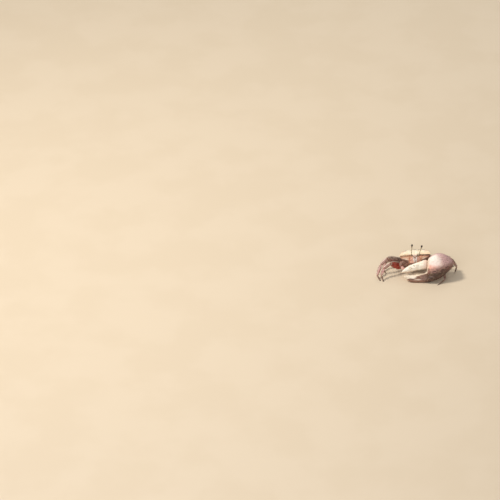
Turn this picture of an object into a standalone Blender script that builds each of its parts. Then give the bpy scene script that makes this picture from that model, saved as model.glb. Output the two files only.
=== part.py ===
"""A fiddler crab, life size, standing on the floor with its big claw folded across its front.

The crab faces -Y and its left side is +X. Every length below is in millimetres and is
turned into metres when a mesh is written. The body is set out in a frame of its own: x
across to the crab's left, b backwards from the front edge and w up from it. The big claw
has a frame too: p from the hinge of its finger towards the tips, q up its flat side and
r out of its outer face.
"""

from dataclasses import dataclass
from math import cos, pi, radians, sin

import bmesh
import bpy
from mathutils import Matrix, Vector

MM = 0.001
COLLECTION = "fiddler_crab"

# Where the model's middle stands, so that its box is centred on the origin
SHIFT = Vector((-2.0, 2.6, 0.0))

# The gap left between pieces that meet
GAP = 0.3

# Carapace: width between the front corners, length, lean of the body and its set on the legs
SHELL_WIDTH = 30.0
SHELL_LENGTH = 19.5
BODY_PITCH = radians(13.0)
BODY_ROLL = radians(4.0)
FACE_HALF_WIDTH = 14.0
FRONT_HEIGHT = 20.0
SHELL_THICK = 1.5
SHELL_EDGE = 1.1
BODY_FRONT = 3.3
BODY_DEPTH = 11.2
BODY_FALL = 0.05
LOBE_HALF_WIDTH = 2.35
LOBE_DROP = 1.3

# Eyes
STALK_RADIUS = 0.47
EYE_RADIUS = 0.9
EYE_LENGTH = 1.3

# Big claw: where the finger's hinge is, the lean of its flat side, and its thickness
HINGE = Vector((10.9, -11.5, 13.6))
CLAW_LEAN = radians(30.0)
PALM_THICK = 11.4
CLAW_SIDES = 16

# Legs: sides of a segment's section, and how much of each toe is cut off to stand flat
LEG_SIDES = 8
FOOT_SINK = 0.12

COLOURS = {
    "cream": ((0.93, 0.80, 0.60), 0.45),
    "salmon": ((0.76, 0.42, 0.28), 0.5),
    "pink": ((0.83, 0.55, 0.52), 0.42),
    "ivory": ((0.92, 0.86, 0.76), 0.35),
    "brown": ((0.27, 0.17, 0.13), 0.5),
    "red": ((0.35, 0.06, 0.04), 0.45),
    "rose": ((0.60, 0.35, 0.31), 0.45),
    "black": ((0.02, 0.012, 0.01), 0.15),
    "olive": ((0.40, 0.36, 0.26), 0.4),
}


def turned_body():
    """The rotation that leans the body back and rolls it a little up on its left."""
    return Matrix.Rotation(-BODY_ROLL, 3, "Y") @ Matrix.Rotation(-BODY_PITCH, 3, "X")


BODY_TURN = turned_body()


def body_point(x, b, w):
    """A point of the body's frame in the model's frame."""
    return Vector((0.0, 0.0, FRONT_HEIGHT)) + BODY_TURN @ Vector((x, b, w))


def claw_point(p, q, r):
    """A point of the big claw's frame in the model's frame."""
    up = Vector((0.0, sin(CLAW_LEAN), cos(CLAW_LEAN)))
    out = Vector((0.0, -cos(CLAW_LEAN), sin(CLAW_LEAN)))
    return HINGE + Vector((-p, 0.0, 0.0)) + q * up + r * out


@dataclass
class Section:
    """One ring of a loft: an oval, squarer as its power rises above 2."""

    centre: Vector
    side: Vector
    up: Vector
    half_side: float
    half_up: float
    power: float = 2.0
    under: float = 1.0

    def at(self, unit):
        """The ring's point for a point of the unit circle."""
        c, s = unit.x, unit.y
        grow = (abs(c) ** self.power + abs(s) ** self.power) ** (-1.0 / self.power)
        lift = s * grow * self.half_up * (self.under if s < 0.0 else 1.0)
        return self.centre + self.side * (c * grow * self.half_side) + self.up * lift


def next_ring(bm, ring):
    """Extrude a ring's edges and return the new ring in the same order."""
    inside = set(ring)
    edges = [e for e in bm.edges if e.verts[0] in inside and e.verts[1] in inside]
    bmesh.ops.extrude_edge_only(bm, edges=edges)
    found = []
    for vert in ring:
        for edge in vert.link_edges:
            other = edge.other_vert(vert)
            if other not in inside and not other.tag:
                found.append(other)
    for vert in ring:
        vert.tag = True
    return found


def loft(sections, sides):
    """A closed skin through the sections, with a flat cap at each end."""
    bm = bmesh.new()
    ring = bmesh.ops.create_circle(bm, cap_ends=False, segments=sides, radius=1.0)["verts"]
    units = [v.co.copy() for v in ring]
    rings = []
    for number, section in enumerate(sections):
        if number:
            ring = next_ring(bm, ring)
        for vert, unit in zip(ring, units):
            vert.co = section.at(unit)
        rings.append(list(ring))
    return closed(bm, rings)


def closed(bm, rings):
    """Cap the first and the last ring and turn every face outwards."""
    for end in (rings[0], rings[-1]):
        bm.faces.new(end)
    bmesh.ops.recalc_face_normals(bm, faces=bm.faces)
    if bm.calc_volume(signed=True) < 0.0:
        bmesh.ops.reverse_faces(bm, faces=bm.faces)
    return bm


def ground(bm):
    """Cut off what would sink under the floor, so that the piece stands on a flat."""
    if min(v.co.z for v in bm.verts) >= 0.0:
        return
    every = bm.verts[:] + bm.edges[:] + bm.faces[:]
    bmesh.ops.bisect_plane(
        bm, geom=every, dist=1e-6, plane_co=(0.0, 0.0, 0.0), plane_no=(0.0, 0.0, -1.0), clear_outer=True
    )
    rim_edges = [e for e in bm.edges if len(e.link_faces) == 1]
    bmesh.ops.holes_fill(bm, edges=rim_edges, sides=0)
    bmesh.ops.recalc_face_normals(bm, faces=bm.faces)


class Crab:
    """The collection that holds the crab and the empty that its pieces hang from."""

    def __init__(self):
        self.collection = bpy.data.collections.new(COLLECTION)
        bpy.context.scene.collection.children.link(self.collection)
        self.root = bpy.data.objects.new("crab_frame", None)
        self.root.location = SHIFT * MM
        self.collection.objects.link(self.root)
        self.made = {}

    def material(self, name, colour):
        """A Principled BSDF with the piece's colour and roughness."""
        base, roughness = COLOURS[colour]
        material = bpy.data.materials.new(name)
        material.use_nodes = True
        shader = material.node_tree.nodes["Principled BSDF"]
        shader.inputs["Base Color"].default_value = (*base, 1.0)
        shader.inputs["Roughness"].default_value = roughness
        shader.inputs["Metallic"].default_value = 0.0
        material.diffuse_color = (*base, 1.0)
        return material

    def add(self, name, bm, at, colour):
        """Write a piece whose mesh is in millimetres, with its origin at the given point."""
        bmesh.ops.translate(bm, vec=-at, verts=bm.verts)
        bmesh.ops.scale(bm, vec=(MM, MM, MM), verts=bm.verts)
        mesh = bpy.data.meshes.new(name)
        bm.to_mesh(mesh)
        bm.free()
        mesh.shade_smooth()
        mesh.set_sharp_from_angle(angle=radians(40.0))
        piece = bpy.data.objects.new(name, mesh)
        piece.location = at * MM
        piece.parent = self.root
        mesh.materials.append(self.material(name, colour))
        self.collection.objects.link(piece)
        self.made[name] = piece
        return piece


# Body


def half_width(b):
    """Half the carapace's width at a distance behind its front edge."""
    full = SHELL_WIDTH / 2.0
    t = max(0.0, b - 0.5) / (SHELL_LENGTH - 0.5)
    return full * (1.0 - 0.04 * sin(min(1.0, t * 5.0) * pi) - 0.46 * t ** 1.45)


def crest(b):
    """Height of the carapace's middle line over its front edge."""
    t = b / SHELL_LENGTH
    return 1.15 * sin(min(1.0, t * 3.0) * pi / 2.0) + 0.2 * sin(t * pi) - 6.4 * max(0.0, t - 0.30) ** 1.6


def rim(b):
    """Height of the carapace's side margin over its front edge."""
    t = b / SHELL_LENGTH
    return -0.2 + 0.45 * sin(min(1.0, t * 3.4) * pi / 2.0) - 7.2 * max(0.0, t - 0.20) ** 1.5


def shell_outline(count):
    """Plan of the carapace as a closed loop of (x, b), from the middle of the front round its left."""
    half = count // 2
    front, back = 0.40, 0.66
    points = []
    for step in range(half + 1):
        u = step / half
        if u < front:
            x = SHELL_WIDTH / 2.0 * (u / front)
            b = 0.75 * sin(min(1.0, x / 7.5) * pi) * (x > 2.4) - 0.35 * (x / 15.0) ** 3
        else:
            t = (u - front) / (1.0 - front)
            long = SHELL_LENGTH - 2.6
            if t < back:
                b = long * (t / back)
                x = half_width(b)
            else:
                turn = (t - back) / (1.0 - back) * pi / 2.0
                b = long + 2.6 * sin(turn) ** 0.8
                x = half_width(long) * (0.0 if step == half else cos(turn) ** 0.75)
        points.append((x, b))
    return points + [(-x, b) for x, b in reversed(points[1:-1])]


def shell_height(x, b):
    """Height of the carapace's upper face."""
    across = min(1.0, abs(x) / max(half_width(b), 1.0))
    return rim(b) + (crest(b) - rim(b)) * (1.0 - across ** 2.8)


def body_rings(rows, count, front=-5.0):
    """A closed skin through plan outlines, each row being (scale in x, scale in b, middle, height)."""
    bm = bmesh.new()
    base = shell_outline(count)
    ring = bmesh.ops.create_circle(bm, cap_ends=False, segments=count, radius=1.0)["verts"]
    rings = []
    for number, (sx, sb, middle, height) in enumerate(rows):
        if number:
            ring = next_ring(bm, ring)
        for vert, (x, b) in zip(ring, base):
            x, b = x * sx, max(front, middle + (b - middle) * sb)
            vert.co = body_point(x, b, height(x, b))
        rings.append(list(ring))
    return closed(bm, rings)


def make_carapace(crab):
    """The back shell: a dome with a square edge and a lobe between the eyes."""
    middle = SHELL_LENGTH * 0.46
    dome = (0.96, 0.86, 0.70, 0.50, 0.28, 0.10)
    rows = []
    for scale in reversed(dome[1:]):
        rows.append((scale, scale, middle, lambda x, b: shell_height(x, b) - SHELL_THICK))
    rows.append((0.94, 0.93, middle, lambda x, b: rim(b) - SHELL_EDGE - 0.1))
    rows.append((0.985, 0.985, middle, lambda x, b: rim(b) - SHELL_EDGE))
    rows.append((1.0, 1.0, middle, lambda x, b: rim(b)))
    for scale in dome:
        rows.append((scale, scale, middle, shell_height))
    bm = body_rings(rows, 40)
    for vert in bm.verts:
        local = BODY_TURN.inverted() @ (vert.co - Vector((0.0, 0.0, FRONT_HEIGHT)))
        if abs(local.x) < LOBE_HALF_WIDTH and local.y < 0.9 and local.z < 0.2:
            local.z -= LOBE_DROP * (0.25 if local.z > -0.8 else 1.0)
            local.y -= 0.35
            vert.co = body_point(*local)
    crab.add("carapace", bm, body_point(0.0, middle, 0.0), "cream")


def make_underbody(crab):
    """The lower body with the breastplate: side walls under the shell, narrowing to the belly."""
    middle = SHELL_LENGTH * 0.52
    under = SHELL_THICK + GAP + 0.1

    def level(drop):
        return lambda x, b: -drop - BODY_FALL * b

    rows = []
    for scale in (0.12, 0.35, 0.58, 0.78):
        rows.append((scale, scale, middle, lambda x, b: shell_height(x, b) - under))
    rows.append((0.93, 0.92, middle, lambda x, b: rim(b) - under - 0.25))
    rows.append((0.96, 0.95, middle, lambda x, b: rim(b) * 0.75 - 3.6))
    rows.append((0.95, 0.95, middle, lambda x, b: rim(b) * 0.3 - 5.9))
    rows.append((0.84, 0.90, middle, level(8.0)))
    rows.append((0.66, 0.84, middle, level(9.9)))
    rows.append((0.50, 0.78, middle, level(BODY_DEPTH)))
    rows.append((0.20, 0.40, middle, level(BODY_DEPTH + 0.1)))
    bm = body_rings(rows, 36, BODY_FRONT)
    crab.add("breastplate", bm, body_point(0.0, middle, -BODY_DEPTH / 2.0), "rose")


def make_face(crab):
    """The cheeks under the eye sockets, from corner to corner, recessed behind the mouth."""
    sections = []
    for step in range(-7, 8):
        x = FACE_HALF_WIDTH * step / 7.0
        side = abs(x) / FACE_HALF_WIDTH
        top = -2.0 - 0.25 * side
        bottom = -10.4 + 5.8 * max(0.0, side - 0.30) ** 1.3 / 0.7 ** 1.3
        front = 1.0 if abs(x) < 5.7 else -0.25 + 0.7 * side
        back = 2.9 - 0.9 * side
        centre = body_point(x, (front + back) / 2.0, (top + bottom) / 2.0)
        sections.append(
            Section(
                centre,
                BODY_TURN @ Vector((0.0, 1.0, 0.0)),
                BODY_TURN @ Vector((0.0, 0.0, 1.0)),
                (back - front) / 2.0,
                (top - bottom) / 2.0,
                4.0,
            )
        )
    crab.add("face", loft(sections, 12), body_point(0.0, 1.5, -6.0), "salmon")


def make_mouth(crab):
    """The two leaf-like outer mouthparts that close the mouth."""
    for word, side in (("right", -1.0), ("left", 1.0)):
        sections = []
        for t, half in ((0.0, 1.7), (0.18, 2.35), (0.5, 2.5), (0.8, 2.2), (1.0, 1.4)):
            w = -10.6 + 7.2 * t
            centre = body_point(side * (0.25 + 2.5), 0.05 + 0.25 * t, w)
            sections.append(
                Section(
                    centre,
                    BODY_TURN @ Vector((1.0, 0.0, 0.0)),
                    BODY_TURN @ Vector((0.0, 1.0, 0.0)),
                    half,
                    0.62 if 0.0 < t < 1.0 else 0.4,
                    2.6,
                )
            )
        crab.add(f"mouthpart_{word}", loft(sections, 10), body_point(side * 2.7, 0.2, -7.0), "pink")


def make_tail(crab):
    """The narrow tail flap folded forward under the belly."""
    sections = []
    for t, half in ((0.0, 3.4), (0.2, 3.0), (0.45, 2.1), (0.75, 1.7), (1.0, 1.0)):
        b = 15.4 - 10.6 * t
        w = -BODY_DEPTH - BODY_FALL * b - GAP - 0.55
        sections.append(
            Section(
                body_point(0.0, b, w),
                BODY_TURN @ Vector((1.0, 0.0, 0.0)),
                BODY_TURN @ Vector((0.0, 0.0, 1.0)),
                half,
                0.42,
                2.6,
            )
        )
    crab.add("tail_flap", loft(sections, 10), body_point(0.0, 10.0, -BODY_DEPTH - 1.0), "ivory")


def make_eyes(crab):
    """The eyestalks, raised out of their sockets, and the eyes at their tips."""
    places = {
        "right": (Vector((-3.1, -1.15, 18.5)), Vector((-2.7, -1.4, 30.5))),
        "left": (Vector((3.25, -1.15, 18.5)), Vector((6.5, -1.4, 29.5))),
    }
    for word, (foot, top) in places.items():
        along = (top - foot).normalized()
        across = along.cross(Vector((0.0, 1.0, 0.0))).normalized()
        depth = along.cross(across)
        end = top - along * (EYE_LENGTH + GAP)
        sections = []
        for t, radius in ((0.0, 0.85), (0.08, 1.25), (0.2, 1.05), (0.6, 0.95), (0.9, 1.0), (1.0, 1.15)):
            here = foot.lerp(end, t)
            size = STALK_RADIUS * radius
            sections.append(Section(here, across, depth, size, size))
        crab.add(f"eyestalk_{word}", loft(sections, LEG_SIDES), foot, "olive")
        bm = bmesh.new()
        bmesh.ops.create_uvsphere(bm, u_segments=12, v_segments=8, radius=1.0)
        turn = Matrix((across, depth, along)).transposed()
        shape = turn @ Matrix.Diagonal(Vector((EYE_RADIUS, EYE_RADIUS, EYE_LENGTH)))
        bmesh.ops.transform(bm, matrix=Matrix.Translation(top) @ shape.to_4x4(), verts=bm.verts)
        bmesh.ops.recalc_face_normals(bm, faces=bm.faces)
        crab.add(f"eye_{word}", bm, top, "black")


# Limbs


@dataclass
class Segment:
    """A limb's segment: its profile as (place along it, half height, half thickness)."""

    name: str
    profile: tuple
    colour: str = "brown"
    power: float = 2.3


@dataclass
class Limb:
    """A chain of segments through its joints."""

    prefix: str
    joints: list
    segments: list
    normal: Vector
    sides: int = LEG_SIDES

    def bend(self, joint):
        """The turn of the limb at a joint."""
        before = self.joints[joint] - self.joints[joint - 1]
        after = self.joints[joint + 1] - self.joints[joint]
        return before.angle(after)

    def trim(self, joint, radius):
        """How far a segment stops before a joint, so that its end clears the next one."""
        if joint in (0, len(self.joints) - 1):
            return 0.0
        half = self.bend(joint) / 2.0
        return radius * sin(half) / max(cos(half), 0.3) + GAP / 2.0

    def build(self, crab):
        """Loft every segment and stand the last one on its foot flat."""
        for number, segment in enumerate(self.segments):
            start, end = self.joints[number], self.joints[number + 1]
            along = (end - start).normalized()
            up = self.normal.cross(along).normalized()
            if up.z < 0.0:
                up = -up
            side = along.cross(up).normalized()
            first, last = segment.profile[0], segment.profile[-1]
            start = start + along * self.trim(number, max(first[1], first[2]))
            end = end - along * self.trim(number + 1, max(last[1], last[2]))
            sections = []
            for t, high, thick in segment.profile:
                sections.append(Section(start.lerp(end, t), side, up, thick, high, segment.power))
            bm = loft(sections, self.sides)
            ground(bm)
            crab.add(f"{self.prefix}_{segment.name}", bm, self.joints[number], segment.colour)


def leg_segments(size):
    """The four segments of a walking leg, with sizes scaled from the longest leg's."""

    def scaled(*rows):
        return tuple((t, high * size, thick * size) for t, high, thick in rows)

    return [
        Segment(
            "thigh",
            scaled(
                (0.0, 0.7, 0.7),
                (0.05, 1.2, 1.0),
                (0.2, 1.7, 1.15),
                (0.42, 3.1, 1.35),
                (0.75, 2.75, 1.3),
                (0.94, 1.75, 1.15),
                (1.0, 0.6, 0.6),
            ),
        ),
        Segment(
            "wrist",
            scaled((0.0, 0.5, 0.5), (0.1, 1.1, 0.9), (0.4, 1.5, 1.1), (0.85, 1.45, 1.05), (1.0, 0.55, 0.5)),
        ),
        Segment(
            "shin",
            scaled((0.0, 0.5, 0.5), (0.06, 1.0, 0.85), (0.3, 1.3, 0.95), (0.9, 0.95, 0.8), (1.0, 0.4, 0.4)),
            "rose",
        ),
        Segment("toe", scaled((0.0, 0.4, 0.4), (0.08, 0.72, 0.68), (0.5, 0.66, 0.55), (1.0, 0.3, 0.3))),
    ]


def leg_rows():
    """Each walking leg's size and joints: hip, knee, wrist, ankle and foot."""
    return {
        "leg_right_1": (
            1.15,
            (-10.0, 0.4, 5.0),
            (-23.4, -5.2, 12.6),
            (-29.4, -9.0, 9.6),
            (-32.0, -14.0, 5.0),
            (-30.0, -17.8, 0.0),
        ),
        "leg_right_2": (
            1.1,
            (-11.2, 5.2, 7.6),
            (-26.3, 0.3, 15.0),
            (-32.4, -3.0, 9.7),
            (-36.0, -12.4, 3.6),
            (-32.7, -16.6, 0.0),
        ),
        "leg_right_3": (
            0.88,
            (-10.7, 9.3, 6.4),
            (-23.0, 8.2, 9.4),
            (-28.0, 6.6, 6.8),
            (-30.6, 0.6, 3.0),
            (-27.4, -3.6, 0.0),
        ),
        "leg_right_4": (
            0.68,
            (-9.0, 13.6, 5.2),
            (-17.6, 14.8, 4.9),
            (-21.8, 15.6, 3.8),
            (-26.6, 14.0, 2.2),
            (-30.2, 11.2, 0.0),
        ),
        "leg_left_1": (
            0.86,
            (9.6, 3.4, 6.4),
            (22.4, -0.6, 7.6),
            (27.8, -6.6, 5.6),
            (28.6, -18.0, 2.4),
            (21.2, -24.4, 0.0),
        ),
        "leg_left_2": (
            1.0,
            (11.3, 6.8, 7.0),
            (27.3, 3.6, 15.9),
            (34.2, 2.0, 13.9),
            (40.0, 0.4, 5.4),
            (38.2, -0.9, 0.0),
        ),
        "leg_left_3": (
            0.88,
            (10.7, 10.6, 6.3),
            (24.6, 12.2, 10.8),
            (30.2, 12.4, 8.0),
            (35.6, 11.0, 3.5),
            (36.6, 8.2, 0.0),
        ),
        "leg_left_4": (
            0.68,
            (9.0, 14.2, 5.3),
            (17.8, 17.2, 6.6),
            (22.2, 18.6, 5.4),
            (27.4, 18.8, 2.8),
            (30.0, 16.8, 0.0),
        ),
    }


def make_legs(crab):
    """Four walking legs on each side."""
    for name, (size, *points) in leg_rows().items():
        joints = [Vector(p) for p in points]
        joints[-1].z = -FOOT_SINK
        normal = (joints[1] - joints[0]).cross(joints[-1] - joints[1]).normalized()
        Limb(name, joints, leg_segments(size), normal).build(crab)


def make_small_claw(crab):
    """The small feeding claw, hanging bent beside the mouth, with its two thin fingers."""
    joints = [
        Vector((-7.0, -2.4, 9.4)),
        Vector((-13.2, -4.9, 13.8)),
        Vector((-13.4, -8.2, 11.4)),
        Vector((-5.6, -9.6, 3.8)),
    ]
    normal = Vector((0.3, -1.0, 0.2)).normalized()
    segments = [
        Segment("arm", ((0.0, 0.9, 0.8), (0.3, 1.6, 1.2), (0.8, 2.0, 1.4), (1.0, 0.9, 0.8)), "brown"),
        Segment("wrist", ((0.0, 0.7, 0.7), (0.2, 1.2, 1.1), (0.7, 1.6, 1.2), (1.0, 0.7, 0.65)), "salmon"),
        Segment(
            "hand",
            ((0.0, 0.7, 0.6), (0.25, 1.35, 0.95), (0.45, 1.3, 0.9), (0.5, 0.5, 0.6), (1.0, 0.3, 0.35)),
            "salmon",
        ),
    ]
    Limb("small_claw", joints, segments, normal).build(crab)
    wrist, tip = joints[2], joints[3]
    along = (tip - wrist).normalized()
    aside = normal.cross(along).normalized()
    base = wrist.lerp(tip, 0.56) + aside * 1.25
    end = tip + aside * 1.0
    sections = []
    for t, size in ((0.0, 0.42), (0.3, 0.5), (1.0, 0.3)):
        sections.append(Section(base.lerp(end, t), normal, aside, size, size))
    crab.add("small_claw_finger", loft(sections, LEG_SIDES), base, "salmon")


def make_big_claw(crab):
    """The big claw: arm, wrist, palm with its fixed finger, and the moving finger."""
    flat_side = claw_point(0.0, 0.0, 1.0) - claw_point(0.0, 0.0, 0.0)
    flat_up = claw_point(0.0, 1.0, 0.0) - claw_point(0.0, 0.0, 0.0)

    def sections(rows):
        found = []
        for p, low, high, thick, shift in rows:
            centre = claw_point(p, (low + high) / 2.0, shift)
            found.append(Section(centre, flat_side, flat_up, thick / 2.0, (high - low) / 2.0, 2.2))
        return found

    full = PALM_THICK
    palm = sections(
        [
            (-25.3, 0.0, 2.4, 0.20 * full, -0.4),
            (-24.5, -1.5, 4.3, 0.37 * full, -0.1),
            (-22.8, -3.3, 6.8, 0.56 * full, 0.2),
            (-20.5, -5.4, 9.0, 0.76 * full, 0.5),
            (-17.6, -8.1, 11.0, 0.90 * full, 0.6),
            (-14.0, -10.8, 12.2, 0.98 * full, 0.8),
            (-10.2, -12.6, 12.1, 1.0 * full, 1.0),
            (-6.8, -13.8, 10.8, 0.98 * full, 0.9),
            (-3.8, -14.6, 8.8, 0.90 * full, 0.7),
            (-1.4, -15.1, 6.9, 0.80 * full, 0.5),
            (-0.5, -15.3, -5.2, 0.62 * full, 0.1),
            (2.6, -15.6, -7.4, 0.50 * full, 0.0),
            (7.5, -15.8, -8.4, 0.40 * full, 0.0),
            (12.0, -15.8, -8.7, 0.35 * full, 0.0),
            (14.6, -15.3, -8.8, 0.32 * full, 0.0),
            (16.8, -13.8, -8.9, 0.28 * full, 0.0),
            (19.3, -11.8, -9.0, 0.21 * full, 0.0),
            (21.3, -10.3, -9.2, 0.10 * full, 0.0),
        ]
    )
    bm = loft(palm, CLAW_SIDES)
    ground(bm)
    crab.add("big_claw_palm", bm, claw_point(-10.0, 0.0, 0.0), "pink")

    finger = sections(
        [
            (-0.1, -2.5, 5.8, 0.52 * full, 0.3),
            (1.2, -2.7, 5.9, 0.57 * full, 0.3),
            (5.0, -3.1, 4.7, 0.50 * full, 0.2),
            (9.5, -3.9, 3.2, 0.42 * full, 0.1),
            (14.0, -5.1, 1.5, 0.35 * full, 0.0),
            (18.0, -6.0, -0.6, 0.29 * full, 0.0),
            (21.2, -6.5, -2.9, 0.22 * full, 0.0),
            (23.4, -6.5, -5.3, 0.10 * full, 0.0),
        ]
    )
    crab.add("big_claw_finger", loft(finger, CLAW_SIDES), claw_point(0.0, 0.0, 0.0), "ivory")

    wrist = sections(
        [
            (-14.6, 6.4, 10.2, 2.4, -7.6),
            (-16.4, 3.0, 10.9, 5.2, -8.0),
            (-19.5, 0.6, 10.0, 6.4, -7.6),
            (-22.4, -0.4, 8.0, 6.2, -7.0),
            (-24.8, 0.2, 5.8, 4.6, -6.2),
            (-26.0, 1.6, 4.0, 2.2, -5.8),
        ]
    )
    crab.add("big_claw_wrist", loft(wrist, 12), claw_point(-20.0, 5.0, -5.0), "pink")

    arm_from = Vector((9.0, -1.1, 9.2))
    arm_to = Vector((24.6, -1.6, 16.0))
    arm = Segment(
        "arm",
        (
            (0.0, 1.5, 1.5),
            (0.12, 2.2, 2.0),
            (0.3, 2.5, 2.2),
            (0.65, 3.4, 2.6),
            (0.9, 3.6, 2.7),
            (1.0, 2.2, 1.8),
        ),
        "rose",
    )
    Limb("big_claw", [arm_from, arm_to], [arm], Vector((0.0, 1.0, 0.0)), 10).build(crab)


def main():
    """Clear the scene and build the crab."""
    for old in list(bpy.data.objects):
        bpy.data.objects.remove(old, do_unlink=True)
    crab = Crab()
    make_carapace(crab)
    make_underbody(crab)
    make_face(crab)
    make_mouth(crab)
    make_tail(crab)
    make_eyes(crab)
    make_legs(crab)
    make_small_claw(crab)
    make_big_claw(crab)
    bpy.context.view_layer.update()


main()
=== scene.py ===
"""The looks of a fiddler crab, life size, with its big claw folded across its front.

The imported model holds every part's place. Each class here models one group of the crab's
parts in millimetres, in that same place, and gives it its finish. The crab faces -Y and its
left side is +X. The body has a frame of its own: x to the crab's left, b backwards from the
front edge and w up from it. So has the big claw: p from the finger's hinge towards the
tips, q up its flat side and r out of its outer face.
"""

import logging
from dataclasses import dataclass, field
from enum import Enum
from functools import lru_cache
from math import cos, exp, pi, radians, sin
from random import Random
from typing import Callable

import bmesh
import bpy
from mathutils import Matrix, Vector, noise


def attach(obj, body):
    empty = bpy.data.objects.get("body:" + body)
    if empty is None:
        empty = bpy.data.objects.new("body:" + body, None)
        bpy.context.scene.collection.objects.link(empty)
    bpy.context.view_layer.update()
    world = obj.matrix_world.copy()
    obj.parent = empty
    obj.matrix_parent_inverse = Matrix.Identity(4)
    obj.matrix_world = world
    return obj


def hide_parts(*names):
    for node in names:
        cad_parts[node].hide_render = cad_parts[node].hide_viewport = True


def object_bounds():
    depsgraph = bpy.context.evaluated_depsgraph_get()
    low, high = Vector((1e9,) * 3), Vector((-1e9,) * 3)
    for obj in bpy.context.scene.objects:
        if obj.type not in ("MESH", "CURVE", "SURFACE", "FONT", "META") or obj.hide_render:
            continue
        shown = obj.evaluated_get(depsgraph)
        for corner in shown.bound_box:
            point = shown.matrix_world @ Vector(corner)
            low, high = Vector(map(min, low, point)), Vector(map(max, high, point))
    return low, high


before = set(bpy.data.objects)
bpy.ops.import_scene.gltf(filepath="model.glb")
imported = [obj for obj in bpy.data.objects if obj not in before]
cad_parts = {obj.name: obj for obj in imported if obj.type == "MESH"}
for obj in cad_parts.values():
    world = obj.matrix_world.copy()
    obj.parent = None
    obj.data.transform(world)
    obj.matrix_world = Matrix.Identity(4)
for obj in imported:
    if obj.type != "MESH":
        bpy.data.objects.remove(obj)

log = logging.getLogger("fiddler_crab")
CAD_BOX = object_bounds()

MM = 0.001
# A full turn in radians
ROUND = 2.0 * pi
BODY = "root"
PLACE = "place"
BAKE_MAP = "OFBake"

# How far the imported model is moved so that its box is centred, in millimetres
SHIFT = Vector((-2.0, 2.6, 0.0))

# The body's size and set: width between the front corners, length, lean and roll
SHELL_WIDTH = 30.0
SHELL_LENGTH = 19.5
SHELL_THICK = 1.5
BODY_PITCH = radians(13.0)
BODY_ROLL = radians(4.0)
FRONT_HEIGHT = 20.0
BODY_DEPTH = 11.2

# The big claw: its finger's hinge and the lean of its flat side
HINGE = Vector((10.9, -11.5, 13.6))
CLAW_LEAN = radians(30.0)

Bm = bmesh.types.BMesh
Socket = bpy.types.NodeSocket
Tint = Socket | str
Mask = Socket | float
Spot = tuple[float, float, float]
Rows = tuple[tuple[float, ...], ...]
# A point of a skin and its place, which reliefs and colours are read by
Placed = tuple[Vector, Vector]
# From the shares of the way round and along a skin, its point and place
Surface = Callable[[float, float], Placed]
# From a point and its place, how far it is raised
Relief = Callable[[Vector, Vector], float]


class Side(Enum):
    """The crab's own right and left, by the sign of x."""

    RIGHT = -1.0
    LEFT = 1.0

    @property
    def word(self) -> str:
        """The side's name in lower case."""
        return self.name.lower()


# Numbers and curves


def smooth(low: float, high: float, value: float) -> float:
    """Ease from 0 where the value is low to 1 where it is high; high may be less than low."""
    t = min(1.0, max(0.0, (value - low) / (high - low)))
    return t * t * (3.0 - 2.0 * t)


def hump(value: float, centre: float, width: float) -> float:
    """A bell of height 1 about a centre, with the given half width."""
    return exp(-(((value - centre) / width) ** 2))


def oval(turn: float, half_wide: float, half_high: float, power: float = 2.0) -> tuple[float, float]:
    """A point of an oval that is squarer as its power rises above 2.

    Args:
        turn: the point's angle round the oval, in radians.
        half_wide: half the oval's width.
        half_high: half its height.
        power: 2 for an ellipse, more for squarer sides, less for sharper ends.

    Returns:
        The point as (across, up).
    """
    c, s = cos(turn), sin(turn)
    grow = (abs(c) ** power + abs(s) ** power) ** (-1.0 / power)
    return c * grow * half_wide, s * grow * half_high


def rounded(v: float, first: float, last: float) -> tuple[float, float]:
    """Close both ends of a tube with round caps.

    Args:
        v: the row's place, from 0 to 1.
        first: the share of the length that the first cap takes.
        last: the share that the last one takes.

    Returns:
        The place along the tube and the share of the full radius there.
    """
    rows = 0.16
    if v < rows:
        turn = v / rows * pi / 2.0
        return first * (1.0 - cos(turn)), sin(turn)
    if v > 1.0 - rows:
        turn = (1.0 - v) / rows * pi / 2.0
        return 1.0 - last * (1.0 - cos(turn)), sin(turn)
    return first + (1.0 - first - last) * (v - rows) / (1.0 - 2.0 * rows), 1.0


def path_distance(x: float, y: float, path: Rows) -> float:
    """How far a point is from a bent line.

    Args:
        x: the point's first number.
        y: its second.
        path: the line's corners.

    Returns:
        The distance to the line's nearest stretch.
    """
    nearest = 1e9
    for (ax, ay), (bx, by) in zip(path, path[1:]):
        dx, dy = bx - ax, by - ay
        t = min(1.0, max(0.0, ((x - ax) * dx + (y - ay) * dy) / (dx * dx + dy * dy)))
        gap = ((x - ax - t * dx) ** 2 + (y - ay - t * dy) ** 2) ** 0.5
        nearest = min(nearest, gap)
    return nearest


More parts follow.
